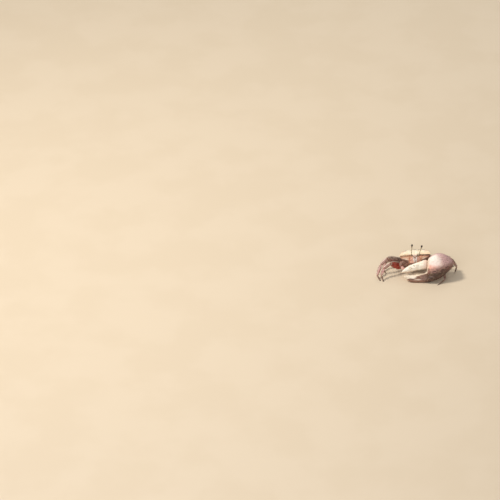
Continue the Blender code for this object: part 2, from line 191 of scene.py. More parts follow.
class Course:
    """Sizes that run smoothly from knot to knot and never swing past one."""

    def __init__(self, *knots: tuple[float, ...]) -> None:
        """Work out the slopes between the knots, each a place followed by the sizes there."""
        self.knots = knots
        self.slopes = [self.slopes_of(column) for column in range(1, len(knots[0]))]

    def slopes_of(self, column: int) -> list[float]:
        """The slopes of one size: flat at a turning point, eased elsewhere.

        Args:
            column: the size's number in a knot.

        Returns:
            Its slope at each knot.
        """
        steps = [
            (after[column] - before[column]) / (after[0] - before[0])
            for before, after in zip(self.knots, self.knots[1:])
        ]
        inner = [0.0 if a * b <= 0.0 else 2.0 * a * b / (a + b) for a, b in zip(steps, steps[1:])]
        return [steps[0], *inner, steps[-1]]

    @lru_cache(maxsize=None)
    def at(self, t: float) -> tuple[float, ...]:
        """The sizes at a place along the course.

        Args:
            t: the place; past either end it reads as the end.

        Returns:
            One number for each size of a knot.
        """
        t = min(max(t, self.knots[0][0]), self.knots[-1][0])
        number = 0
        while number < len(self.knots) - 2 and t > self.knots[number + 1][0]:
            number += 1
        before, after = self.knots[number], self.knots[number + 1]
        span = after[0] - before[0]
        h = (t - before[0]) / span
        values = []
        for column, slopes in enumerate(self.slopes, 1):
            a, b = before[column], after[column]
            m, n = slopes[number] * span, slopes[number + 1] * span
            values.append(((2 * a + m - 2 * b + n) * h + 3 * b - 3 * a - 2 * m - n) * h * h + m * h + a)
        return tuple(values)


# Frames of the body and of the big claw


@dataclass(frozen=True)
class BodyFrame:
    """Where the body is and the curves that the back shell follows."""

    width: float = SHELL_WIDTH
    length: float = SHELL_LENGTH
    rear_round: float = 2.6
    front_share: float = 0.40
    side_share: float = 0.66

    def point(self, x: float, b: float, w: float) -> Vector:
        """A point of the body's frame in the model's frame."""
        return SHIFT + Vector((0.0, 0.0, FRONT_HEIGHT)) + BODY_TURN @ Vector((x, b, w))

    def half_width(self, b: float) -> float:
        """Half the back shell's width at a distance behind its front edge."""
        t = max(0.0, b - 0.5) / (self.length - 0.5)
        return self.width / 2.0 * (1.0 - 0.04 * sin(min(1.0, t * 5.0) * pi) - 0.46 * t**1.45)

    def crest(self, b: float) -> float:
        """Height of the back's middle line over its front edge."""
        t = b / self.length
        rise = 1.15 * sin(min(1.0, t * 3.0) * pi / 2.0) + 0.2 * sin(t * pi)
        return rise - 6.4 * max(0.0, t - 0.30) ** 1.6

    def rim(self, b: float) -> float:
        """Height of the back shell's side margin over its front edge."""
        t = b / self.length
        return -0.2 + 0.45 * sin(min(1.0, t * 3.4) * pi / 2.0) - 7.2 * max(0.0, t - 0.20) ** 1.5

    def height(self, x: float, b: float) -> float:
        """Height of the back's upper face."""
        across = min(1.0, abs(x) / max(self.half_width(b), 1.0))
        return self.rim(b) + (self.crest(b) - self.rim(b)) * (1.0 - across**2.8)

    def outline(self, u: float) -> tuple[float, float]:
        """Plan of the back shell as a closed loop from the middle of its front.

        Args:
            u: the place round the loop, from 0 to 1, by way of the crab's left.

        Returns:
            The point as (x, b).
        """
        side, s = (1.0, 2.0 * u) if u <= 0.5 else (-1.0, 2.0 - 2.0 * u)
        if s < self.front_share:
            x = self.width / 2.0 * s / self.front_share
            b = 0.75 * sin(min(1.0, x / 7.5) * pi) * smooth(1.8, 3.0, x) - 0.35 * (x / 15.0) ** 3
            return side * x, b
        t = (s - self.front_share) / (1.0 - self.front_share)
        long = self.length - self.rear_round
        if t < self.side_share:
            b = long * t / self.side_share
            return side * self.half_width(b), b
        turn = (t - self.side_share) / (1.0 - self.side_share) * pi / 2.0
        x = self.half_width(long) * max(0.0, cos(turn)) ** 0.75
        return side * x, long + self.rear_round * sin(turn) ** 0.8


BODY_TURN = Matrix.Rotation(-BODY_ROLL, 3, "Y") @ Matrix.Rotation(-BODY_PITCH, 3, "X")
CLAW_UP = Vector((0.0, sin(CLAW_LEAN), cos(CLAW_LEAN)))
CLAW_OUT = Vector((0.0, -cos(CLAW_LEAN), sin(CLAW_LEAN)))
CLAW_TURN = Matrix((Vector((-1.0, 0.0, 0.0)), CLAW_UP, CLAW_OUT)).transposed()
TRUNK = BodyFrame()


def claw_point(p: float, q: float, r: float) -> Vector:
    """A point of the big claw's frame in the model's frame."""
    return SHIFT + HINGE + Vector((-p, 0.0, 0.0)) + q * CLAW_UP + r * CLAW_OUT


# Mesh making


def skin(round_it: int, along_it: int, surface: Surface) -> Bm:
    """Bend a flat grid into a closed skin.

    Args:
        round_it: how many faces go round the skin.
        along_it: how many go from one end to the other.
        surface: gives the point and the place that is painted by, for (u, v) from 0 to 1.

    Returns:
        The skin, with its seam and its ends closed and its faces outwards.
    """
    bm = bmesh.new()
    place = bm.verts.layers.float_vector.new(PLACE)
    bmesh.ops.create_grid(bm, x_segments=round_it, y_segments=along_it, size=0.5)
    for vert in bm.verts:
        vert.co, vert[place] = surface(vert.co.x + 0.5, vert.co.y + 0.5)
    bmesh.ops.remove_doubles(bm, verts=bm.verts, dist=1e-4)
    outwards(bm)
    return bm


def outwards(bm: Bm) -> None:
    """Turn every face of a skin outwards."""
    bmesh.ops.recalc_face_normals(bm, faces=bm.faces)
    if bm.calc_volume(signed=True) < 0.0:
        bmesh.ops.reverse_faces(bm, faces=bm.faces)


def emboss(bm: Bm, relief: Relief) -> None:
    """Raise each point along its normal.

    Args:
        bm: the skin that is changed.
        relief: gives the rise in millimetres for a point and its place.
    """
    place = bm.verts.layers.float_vector[PLACE]
    bm.normal_update()
    rises = [vert.normal * relief(vert.co, vert[place]) for vert in bm.verts]
    for vert, rise in zip(bm.verts, rises):
        vert.co += rise


def join(bm: Bm, *others: Bm) -> Bm:
    """Add other skins to a skin and free them.

    Args:
        bm: the skin that grows.
        others: the skins that it takes in.

    Returns:
        The skin.
    """
    for other in others:
        held = bpy.data.meshes.new("held")
        other.to_mesh(held)
        other.free()
        bm.from_mesh(held)
        bpy.data.meshes.remove(held)
    return bm


def bead(bm: Bm, centre: Vector, turn: Matrix, halves: tuple[float, float, float], place: Vector) -> None:
    """Add a small round grain to a skin.

    Args:
        bm: the skin that gets it.
        centre: the grain's middle.
        turn: its axes, as a 3x3 rotation.
        halves: half its size along each axis.
        place: what its colour is read by.
    """
    layer = bm.verts.layers.float_vector[PLACE]
    shape = Matrix.Translation(centre) @ (turn @ Matrix.Diagonal(Vector(halves))).to_4x4()
    made = bmesh.ops.create_icosphere(bm, subdivisions=2, radius=1.0, matrix=shape)
    for vert in made["verts"]:
        vert[layer] = place


def axes(along: Vector, hint: Vector) -> Matrix:
    """A rotation whose z runs along a line and whose y is nearest to a hint."""
    z = along.normalized()
    x = hint.cross(z).normalized()
    return Matrix((x, z.cross(x), z)).transposed()


def pebbles(point: Vector, size: float, seed: float) -> float:
    """Rounded grains set close together: 1 on top of a grain and 0 between grains."""
    distances, _points = noise.voronoi(point / size + Vector((seed, seed, seed)))
    return smooth(0.0, 0.45, distances[1] - distances[0])


def inside_box(bm: Bm) -> None:
    """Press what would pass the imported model's box flat against it, as a foot on the floor.

    Args:
        bm: the skin that is changed.
    """
    for vert in bm.verts:
        for axis in range(3):
            low, high = CAD_BOX[0][axis] / MM, CAD_BOX[1][axis] / MM
            vert.co[axis] = min(high, max(low, vert.co[axis]))


class Moulding:
    """A part whose skin is a grid bent to a surface and then embossed with a relief."""

    def surface(self, u: float, v: float) -> Placed:
        """A point of the smooth skin.

        Args:
            u: the share of the way round it, from 0 to 1.
            v: the share of the way along it.

        Returns:
            The point in millimetres, and the place that its relief and colours are read by.
        """
        raise NotImplementedError

    def relief(self, point: Vector, place: Vector) -> float:
        """How far a point is raised; a smooth part leaves this as it is.

        Args:
            point: the point.
            place: its place.

        Returns:
            The rise in millimetres.
        """
        return 0.0

    def mould(self, round_it: int, along_it: int) -> Bm:
        """The finished skin, with so many faces round it and along it."""
        bm = skin(round_it, along_it, self.surface)
        emboss(bm, self.relief)
        return bm


# Finishes


def paint(code: str) -> tuple[float, ...]:
    """Turn an sRGB hex colour into the linear one that a shader takes."""
    shares = [int(code[start : start + 2], 16) / 255.0 for start in (1, 3, 5)]
    linear = [s / 12.92 if s <= 0.04045 else ((s + 0.055) / 1.055) ** 2.4 for s in shares]
    return (*linear, 1.0)


class Brush:
    """Builds the node tree of one material, with its patterns in millimetres."""

    def __init__(self, name: str) -> None:
        """Start a material of that name with a plain shader."""
        self.material = bpy.data.materials.new(name)
        self.material.use_nodes = True
        self.tree = self.material.node_tree
        self.shader = self.tree.nodes["Principled BSDF"]
        self.painted: Tint = "#FFFFFF"
        spot = self.add("TexCoord").outputs["Object"]
        scaled = self.add("VectorMath", {0: spot, "Scale": 1.0 / MM}, operation="SCALE")
        self.spot = scaled.outputs["Vector"]
        self.held = self.add("Attribute", attribute_name=PLACE).outputs["Vector"]
        self.place = self.add("SeparateXYZ", {0: self.held}).outputs

    def add(self, kind: str, inputs: dict | None = None, **settings) -> bpy.types.Node:
        """Add a node.

        Args:
            kind: its type, without the words ShaderNode.
            inputs: for a socket's name or number, its value or the socket that feeds it.
            settings: the node's own properties.

        Returns:
            The node.
        """
        node = self.tree.nodes.new("ShaderNode" + kind)
        for name, value in settings.items():
            setattr(node, name, value)
        self.feed(node, inputs or {})
        return node

    def feed(self, node: bpy.types.Node, inputs: dict) -> None:
        """Set a node's sockets.

        Args:
            node: the node.
            inputs: for a socket's name or number, its value or the socket that feeds it.
        """
        for key, value in inputs.items():
            if isinstance(value, Socket):
                self.tree.links.new(value, node.inputs[key])
            else:
                node.inputs[key].default_value = value

    def step(self, value: Socket, low: float, high: float) -> Socket:
        """A mask that eases from 0 where the value is low to 1 where it is high."""
        inputs = {"Value": value, "From Min": low, "From Max": high}
        return self.add("MapRange", inputs, interpolation_type="SMOOTHSTEP").outputs["Result"]

    def patches(
        self,
        size: float,
        low: float,
        high: float,
        seed: float = 0.0,
        stretch: Spot = (1.0, 1.0, 1.0),
        detail: float = 3.0,
    ) -> Socket:
        """A mask of cloudy patches.

        Args:
            size: the width of a patch in millimetres.
            low: the noise at which the mask starts.
            high: the noise at which it is full.
            seed: sets one pattern apart from another.
            stretch: how many patches there are along each axis, next to an even pattern.
            detail: how many finer layers of patches are added.

        Returns:
            The mask.
        """
        warped = self.add("Mapping", {"Vector": self.spot, "Scale": stretch})
        inputs = {"Vector": warped.outputs["Vector"], "W": seed, "Scale": 1.0 / size, "Detail": detail}
        cloud = self.add("TexNoise", inputs, noise_dimensions="4D")
        return self.step(cloud.outputs[0], low, high)

    def grains(self, size: float, low: float = 0.0, high: float = 0.4) -> Socket:
        """A mask of close round grains: 1 on top of a grain and 0 between grains."""
        inputs = {"Vector": self.spot, "Scale": 1.0 / size, "Smoothness": 0.4}
        cells = self.add("TexVoronoi", inputs, feature="SMOOTH_F1")
        return self.step(cells.outputs["Distance"], high + 0.25, low)

    def zone(
        self, axis: int, low: float, high: float, ragged: float = 0.0, size: float = 2.0, fold: bool = False
    ) -> Socket:
        """A mask by one number of the place, with an uneven edge.

        Args:
            axis: which of the place's three numbers is read.
            low: where the mask is 0.
            high: where it is 1.
            ragged: how far the edge wanders.
            size: the width of its wanderings in millimetres.
            fold: reads the number without its sign.

        Returns:
            The mask.
        """
        value = self.place[axis]
        if fold:
            value = self.add("Math", {0: value}, operation="ABSOLUTE").outputs[0]
        if ragged:
            inputs = {"Vector": self.spot, "W": 7.0 + axis, "Scale": 1.0 / size, "Detail": 2.0}
            cloud = self.add("TexNoise", inputs, noise_dimensions="4D").outputs[0]
            shift = self.add("Math", {0: cloud, 1: -0.5}, operation="ADD").outputs[0]
            inputs = {0: shift, 1: 4.0 * ragged, 2: value}
            value = self.add("Math", inputs, operation="MULTIPLY_ADD").outputs[0]
        return self.step(value, low, high)

    def slope(
        self, axis: int, share: float, other: int, other_share: float, low: float, high: float
    ) -> Socket:
        """A mask by a sum of shares of two numbers of the place, 0 at low and 1 at high."""
        first = self.add("Math", {0: self.place[axis], 1: share}, operation="MULTIPLY").outputs[0]
        inputs = {0: self.place[other], 1: other_share, 2: first}
        return self.step(self.add("Math", inputs, operation="MULTIPLY_ADD").outputs[0], low, high)

    def spot_at(self, centre: Spot, halves: Spot) -> Socket:
        """A mask of one soft oval spot.

        Args:
            centre: the place where it is full.
            halves: half its size along each axis of the place.

        Returns:
            The mask.
        """
        offset = self.add("VectorMath", {0: self.held, 1: centre}, operation="SUBTRACT").outputs[0]
        scaled = self.add("VectorMath", {0: offset, 1: halves}, operation="DIVIDE").outputs[0]
        reach = self.add("VectorMath", {0: scaled}, operation="LENGTH").outputs["Value"]
        return self.step(reach, 1.25, 0.6)

    def both(self, *masks: Mask) -> Mask:
        """Multiply masks.

        Args:
            masks: the masks, or plain shares.

        Returns:
            Their product.
        """
        made = masks[0]
        for mask in masks[1:]:
            made = self.add("Math", {0: made, 1: mask}, operation="MULTIPLY").outputs[0]
        return made

    def over(self, under: Tint, top: Tint, *masks: Mask) -> Socket:
        """Mix two colours.

        Args:
            under: the colour below, as a hex code or a socket.
            top: the colour that is laid on.
            masks: where and how strongly it is laid on, multiplied together.

        Returns:
            The mixed colour.
        """
        under = paint(under) if isinstance(under, str) else under
        top = paint(top) if isinstance(top, str) else top
        inputs = {0: self.both(*masks), 6: under, 7: top}
        return self.add("Mix", inputs, data_type="RGBA", clamp_factor=True).outputs[2]

    def lay(self, tint: Tint, *masks: Mask) -> None:
        """Lay a colour on what is painted so far, by its masks; with none it is the ground."""
        self.painted = self.over(self.painted, tint, *masks) if masks else tint

    def finish(self, **settings: Mask) -> bpy.types.Material:
        """Finish the material: what is painted, and sockets named with _ for each space."""
        named = {name.replace("_", " "): value for name, value in settings.items()}
        self.feed(self.shader, {"Base Color": self.painted, **named})
        return self.material


@dataclass(frozen=True)
class Finish:
    """What a piece is dressed in, named for the real one's material."""

    name: str

    def material(self) -> bpy.types.Material:
        """Make the material with all its nodes."""
        raise NotImplementedError


@dataclass(frozen=True)
class Shell(Finish):
    """Crab shell: chitin hardened with chalk, cast by the skin below as fine grains and pits.

    The eye sees a broad soft shine that the grains break up, with a film of dried mud between
    them. The fields are the shine, the grains' width and height in millimetres, how much mud
    stays on, and a number that sets one part's pattern apart.
    """

    roughness: float = 0.44
    grain: float = 0.55
    height: float = 0.05
    mud: float = 0.25
    seed: float = 1.0

    def pattern(self, brush: Brush) -> None:
        """Paint the clean shell."""
        raise NotImplementedError

    def material(self) -> bpy.types.Material:
        """The clean pattern with painted shade in the crevices between grains, then dried mud, an uneven
        gloss and its grains.
        """
        brush = Brush(self.name)
        self.pattern(brush)
        grains = brush.grains(self.grain)
        wear_and_shade_patches = brush.patches(1.1, 0.3, 0.7, self.seed + 5.0)
        # Painted shade: dark brown in the crevices between the grains, in patches.
        brush.lay("#7A5548", brush.step(grains, 0.5, 0.0), wear_and_shade_patches, 0.22)
        film = brush.patches(2.3, 0.48, 0.68, self.seed + 11.0, detail=5.0)
        brush.lay("#B9A383", film, brush.step(grains, 0.8, 0.2), self.mud)
        height = brush.add("SeparateXYZ", {0: brush.spot}).outputs["Z"]
        brush.lay("#9C8768", brush.step(height, 2.6, 0.1), film, self.mud)
        inputs = {"Value": wear_and_shade_patches, "To Min": self.roughness - 0.07, "To Max": self.roughness + 0.14}
        gloss = brush.add("MapRange", inputs).outputs[0]
        bumps = self.bumps(brush, grains)
        return brush.finish(Roughness=gloss, Normal=bumps, IOR=1.53, Coat_Weight=0.10, Coat_Roughness=0.30)

    def bumps(self, brush: Brush, grains: Socket) -> Socket:
        """Raise the grains and sink fine pits between them.

        Args:
            brush: what the shell is painted with.
            grains: the mask of the grains.

        Returns:
            The bent normal.
        """
        inputs = {"Height": grains, "Distance": self.height * MM, "Strength": 0.9}
        raised = brush.add("Bump", inputs).outputs[0]
        pits = brush.patches(0.16, 0.35, 0.75, self.seed, detail=2.0)
        inputs = {"Height": pits, "Distance": 0.012 * MM, "Strength": 0.8, "Normal": raised}
        return brush.add("Bump", inputs).outputs[0]


@dataclass(frozen=True)
class BackShell(Shell):
    """The back, placed by x, b and how near the edge is."""

    def pattern(self, brush: Brush) -> None:
        """Cream with dark blotches in rough bands, pink rear corners and a dark side margin."""
        clouds = brush.patches(3.2, 0.40, 0.62, 2.0)
        brush.lay("#FFF5DF")
        brush.lay("#FBE6C0", clouds, 0.7)
        brush.lay("#FCD9AE", brush.zone(1, 3.4, 0.6, 0.5), brush.zone(0, 2.5, 8.0, 0.5, fold=True), 0.6)
        brush.lay("#E3AC9B", brush.zone(1, 3.5, 7.0, 0.6), brush.zone(0, 7.0, 11.0, 0.8, fold=True), 0.7)
        rear = brush.zone(1, 6.8, 9.4, 0.6)
        wide = (0.55, 1.0, 1.0)
        bands = brush.patches(2.6, 0.49, 0.57, 5.3, wide, 3.0)
        halo = brush.patches(2.6, 0.43, 0.55, 5.3, wide, 3.0)
        middle = brush.zone(0, 11.5, 8.5, 1.0, fold=True)
        brush.lay("#A9A7A0", halo, rear, middle, 0.7)
        brush.lay("#3D3936", bands, rear, middle, 0.9)
        specks = brush.patches(0.7, 0.60, 0.68, 9.0)
        brush.lay("#6E574C", specks, brush.zone(1, 3.0, 8.0), 0.5)
        brush.lay("#85594B", brush.zone(2, 0.94, 0.99, 0.006), brush.zone(1, 2.0, 6.0), 0.7)
        lobe = brush.both(brush.zone(0, 3.1, 2.2, fold=True), brush.zone(2, 1.0, 1.2))
        lobe = brush.both(lobe, brush.zone(1, 5.0, 3.0))
        brush.lay("#F1D8CB", lobe, 0.9)
        grey = brush.zone(0, 1.0, 1.7, 0.15, fold=True), brush.zone(2, 1.45, 1.75, 0.05)
        brush.lay("#6F645C", lobe, *grey, 0.75)
        # The shell's wine-red underside at its edge, laid on the crab's left only: its own colour kept as
        # painted shade on the shaded side, with the crab's right left pale as painted light.
        brush.lay("#7A3B33", brush.zone(2, 1.5, 1.95), brush.zone(0, 2.4, 3.2), 0.9)


@dataclass(frozen=True)
class FaceShell(Shell):
    """The cheeks, placed by x, w and the way they face."""

    def pattern(self, brush: Brush) -> None:
        """Salmon, cream below, a tan band of painted shade under the socket's edge that is darker on the
        crab's left, and dark red on the left and brown on the right under each cheek's slope, partly the
        wall's colour and partly painted shade.
        """
        brush.lay("#F6C3A0")
        brush.lay("#EBA982", brush.patches(2.0, 0.4, 0.65, 1.0), 0.7)
        brush.lay("#FBDABC", brush.patches(0.8, 0.52, 0.66, 4.0), 0.5)
        brush.lay("#FCE8CF", brush.zone(1, -3.3, -4.3, 0.15), brush.zone(0, 6.2, 8.4, 0.2, fold=True), 0.85)
        # Painted shade: a tan band along the socket's edge under the shell's overhang, darker red-brown on
        # the crab's left, the side in shade.
        rim = brush.zone(1, -3.2, -2.5, 0.1)
        brush.lay("#D9A177", rim, 0.7)
        brush.lay("#9A5040", rim, brush.zone(0, 2.0, 6.0), 0.75)
        # Partly painted shade: dark red-brown under a slope on the crab's left cheek and brown on the
        # right, over the lower wall's own colour.
        brush.lay("#6E3527", brush.slope(1, 1.0, 0, -0.44, -8.3, -9.3), brush.zone(0, 3.5, 6.0), 0.9)
        brush.lay("#8C6657", brush.slope(1, 1.0, 0, 0.33, -7.7, -8.4), brush.zone(0, -5.9, -6.7), 0.9)
        brush.lay("#7A4034", brush.zone(2, 0.0, -0.6), 0.9)


@dataclass(frozen=True)
class SocketLining(Shell):
    """The floor of the eye socket, a thin wet-looking shell."""

    def pattern(self, brush: Brush) -> None:
        """Wine red with darker clouds, paler on the crab's right, where more light comes in."""
        brush.lay("#7A3028")
        brush.lay("#43150F", brush.patches(1.4, 0.4, 0.65, 3.0), 0.9)
        brush.lay("#EBA684", brush.zone(0, -3.0, -5.0), 0.92)


@dataclass(frozen=True)
class MouthShell(Shell):
    """The outer mouthparts, whose place is x, height and part: 0 plate, 1 palp, 2 strip."""

    def pattern(self, brush: Brush) -> None:
        """Peach plates, white inner margins and palps, salmon strips outside, and painted shade along the
        mouth's bottom.
        """
        brush.lay("#F6BEA6")
        brush.lay("#FBD5C0", brush.patches(1.1, 0.42, 0.62, 2.0), 0.8)
        brush.lay("#DE9078", brush.patches(0.6, 0.55, 0.68, 6.0), 0.3)
        brush.lay("#F8ECE0", brush.zone(0, 1.9, 0.9, 0.15, fold=True), 0.85)
        palp = brush.over("#FFFDF8", "#FCEBDF", brush.patches(0.7, 0.42, 0.62, 9.0), 0.8)
        brush.lay(palp, brush.zone(2, 0.4, 0.6), brush.zone(2, 1.6, 1.4), 0.95)
        brush.lay("#EBAE8C", brush.zone(2, 1.4, 1.6), 0.95)
        # Painted shade: dark red-brown along the bottom of the mouthparts.
        brush.lay("#5E2F26", brush.zone(1, -8.3, -9.2, 0.2), 0.85)


@dataclass(frozen=True)
class BellyShell(Shell):
    """The underside, placed by x, b and w."""

    def pattern(self, brush: Brush) -> None:
        """Plum brown above, cream with rosy seams below."""
        brush.lay("#7B5248")
        brush.lay("#4D322D", brush.patches(2.2, 0.4, 0.62, 3.0), 0.8)
        brush.lay("#B98F80", brush.patches(0.9, 0.55, 0.66, 8.0), 0.6)
        belly = brush.both(brush.zone(2, -7.6, -10.4, 0.4), brush.zone(0, 10.5, 7.5, 0.4, fold=True))
        brush.lay("#E9D6BE", belly, 0.95)
        brush.lay("#D3A08C", belly, brush.patches(1.8, 0.5, 0.65, 4.0), 0.6)


@dataclass(frozen=True)
class TailShell(Shell):
    """The tail flap's smooth plates, placed by x and the way along."""

    def pattern(self, brush: Brush) -> None:
        """Ivory with faint rosy clouds."""
        brush.lay("#EBDCC4")
        brush.lay("#D9B7A0", brush.patches(1.6, 0.45, 0.65, 2.0), 0.7)
        brush.lay("#A87F6E", brush.zone(0, 1.4, 3.0, 0.3, fold=True), 0.5)


@dataclass(frozen=True)
class PalmShell(Shell):
    """The big claw's palm and fixed finger, placed by p, q and its outward face, from -1 to 1."""

    def pattern(self, brush: Brush) -> None:
        """Pale pink with a painted highlight at the upper left, salmon at the finger's base, mauve behind
        and brown below, darkened further with painted shade, with a cream finger.
        """
        brush.lay("#F7DDD4")
        brush.lay("#EFC6BC", brush.patches(3.4, 0.38, 0.62, 1.0), 0.7)
        # Painted highlight: a near-white spot on the upper part of the palm.
        brush.lay("#FFF6EE", brush.spot_at((-8.0, 5.5, 1.0), (7.0, 5.5, 2.5)), 0.8)
        brush.lay("#F3AE95", brush.zone(1, 2.6, -2.0, 0.7), brush.zone(0, -16.0, -3.0, 0.8), 0.85)
        palm = brush.zone(0, 1.0, -2.5)
        foot = brush.zone(0, 7.0, 1.0, 0.5)
        far = brush.both(brush.slope(0, -1.0, 1, 0.6, 14.0, 21.0), palm)
        brush.lay("#C8A0A2", far, 0.8)
        brush.lay("#B98A8A", brush.zone(2, 0.55, 0.15), palm, brush.zone(1, -9.0, -3.0), 0.6)
        brush.lay("#8A6664", brush.patches(0.95, 0.50, 0.62, 3.0), far, 0.6)
        specks = brush.patches(0.7, 0.60, 0.66, 17.0)
        brush.lay("#5E4244", specks, brush.zone(0, -13.0, -18.0), palm, 0.7)
        # Brown below, partly the palm's own colour and partly painted shade, with dark streaks.
        low = brush.both(brush.slope(1, 1.0, 0, 0.30, -2.0, -7.6), foot)
        brush.lay("#76473A", low, 0.9)
        streaks = brush.patches(1.5, 0.46, 0.60, 23.0, (0.45, 1.6, 1.6), 4.0)
        brush.lay("#311A13", streaks, low, 0.8)
        # Painted shade: near black along the lowest edge.
        brush.lay("#301B14", brush.slope(1, 1.0, 0, 0.20, -5.0, -10.0), foot, 0.85)
        brush.lay("#D8A994", brush.patches(1.1, 0.56, 0.68, 12.0), low, 0.35)
        brush.lay("#EED3C6", brush.zone(2, 0.0, -0.5), palm, 0.5)
        self.hinge(brush)
        self.fixed_finger(brush)

    def hinge(self, brush: Brush) -> None:
        """The cream lip and the dark lower corner beside the moving finger."""
        brush.lay("#F6E2C4", brush.zone(0, -3.2, -1.6, 0.2), brush.zone(1, -5.5, -3.0), 0.7)
        brush.lay("#6B4033", brush.spot_at((-2.0, -3.4, 1.0), (1.4, 1.5, 1.6)), 0.75)

    def fixed_finger(self, brush: Brush) -> None:
        """Cream upper edge and blotches over the fixed finger's pink-brown, which is partly its own colour
        and partly painted shade.
        """
        # Partly painted shade: the fixed finger laid pink-brown with darker brown patches.
        finger = brush.zone(0, -3.0, 5.0, 0.8)
        brush.lay("#86614F", finger, 0.9)
        brush.lay("#523528", finger, brush.patches(1.5, 0.44, 0.60, 15.0, (0.5, 1.4, 1.4)), 0.75)
        brush.lay("#F8EDDA", brush.slope(1, 1.0, 0, 0.30, -7.3, -6.8), brush.zone(0, -1.8, -0.2, 0.2), 0.95)
        brush.lay("#FAF0DF", brush.spot_at((12.6, -10.6, 0.6), (3.4, 1.6, 1.2)), 0.95)
        brush.lay("#EFE0CB", brush.spot_at((8.2, -12.9, 0.6), (3.6, 0.5, 1.2)), 0.85)
        brush.lay("#F1E4D0", brush.zone(0, 17.5, 20.0, 0.4), 0.8)
        brush.lay("#E0C3AE", brush.zone(2, 0.0, -0.6), finger, 0.6)


@dataclass(frozen=True)
class FingerShell(Shell):
    """The big claw's smooth moving finger, placed by p, q and its outward face."""

    def pattern(self, brush: Brush) -> None:
        """Ivory, rosy at the hinge, with three faint olive marks on the outer face and painted shade along
        the lower edge.
        """
        brush.lay("#FCF5E7")
        brush.lay("#F4E6D0", brush.patches(2.4, 0.42, 0.62, 1.0), 0.8)
        brush.lay("#F0CFBD", brush.zone(0, 5.0, 0.5, 0.5), 0.6)
        brush.lay("#C99F86", brush.zone(0, 0.9, -0.4, 0.15), 0.6)
        marks = brush.patches(0.8, 0.42, 0.55, 5.0)
        for centre in ((15.0, -1.8, 1.0), (11.4, 0.3, 1.0), (8.0, 0.6, 1.0)):
            brush.lay("#8E8B70", brush.spot_at(centre, (1.9, 1.0, 1.4)), marks, 0.7)
        # Painted shade: the lower edge darkened to tan.
        brush.lay("#DDBE9F", brush.slope(1, 1.0, 0, 0.14, -2.0, -3.0), 0.5)
        brush.lay("#E6CBB8", brush.zone(2, 0.0, -0.6), 0.5)


@dataclass(frozen=True)
class ClawWristShell(Shell):
    """The big claw's wrist, placed by p, q and r."""

    def pattern(self, brush: Brush) -> None:
        """Mauve and brown mottling with a paler crest."""
        brush.lay("#BE9492")
        brush.lay("#8C5D5C", brush.patches(2.0, 0.42, 0.62, 2.0), 0.7)
        brush.lay("#E3C3BA", brush.patches(1.3, 0.54, 0.66, 6.0), 0.5)
        brush.lay("#DDBDB2", brush.zone(1, 7.0, 9.5, 0.6), 0.4)
        brush.lay("#5E4244", brush.patches(0.7, 0.58, 0.66, 17.0), 0.5)
        brush.lay("#5F3A34", brush.zone(2, -8.5, -11.0, 0.4), 0.6)


class Limb(Enum):
    """Which part of a leg or of the small claw a finish is for, with its two ground colours."""

    THIGH = ("#A3887A", "#6E5449")
    RED_THIGH = ("#9A7A6C", "#5F443A")
    WRIST = ("#B09184", "#765A4E")
    SHIN = ("#EFC4BE", "#DDA29C")
    # Painted shade: the left legs' shins and toes, in the big claw's shadow, take browner and darker copies
    # of the right ones' colours.
    LEFT_SHIN = ("#B08C7F", "#7E5B50")
    TOE = ("#8F6A59", "#5D4136")
    # Painted shade: the left toes' darker copy.
    LEFT_TOE = ("#65493D", "#3B2820")
    HIP = ("#8E6457", "#5C3D35")
    CLAW_ARM = ("#8F5A55", "#5C3433")
    SMALL_ARM = ("#A27C6E", "#7A5548")
    SMALL_HAND = ("#F2C6BA", "#DF9C90")


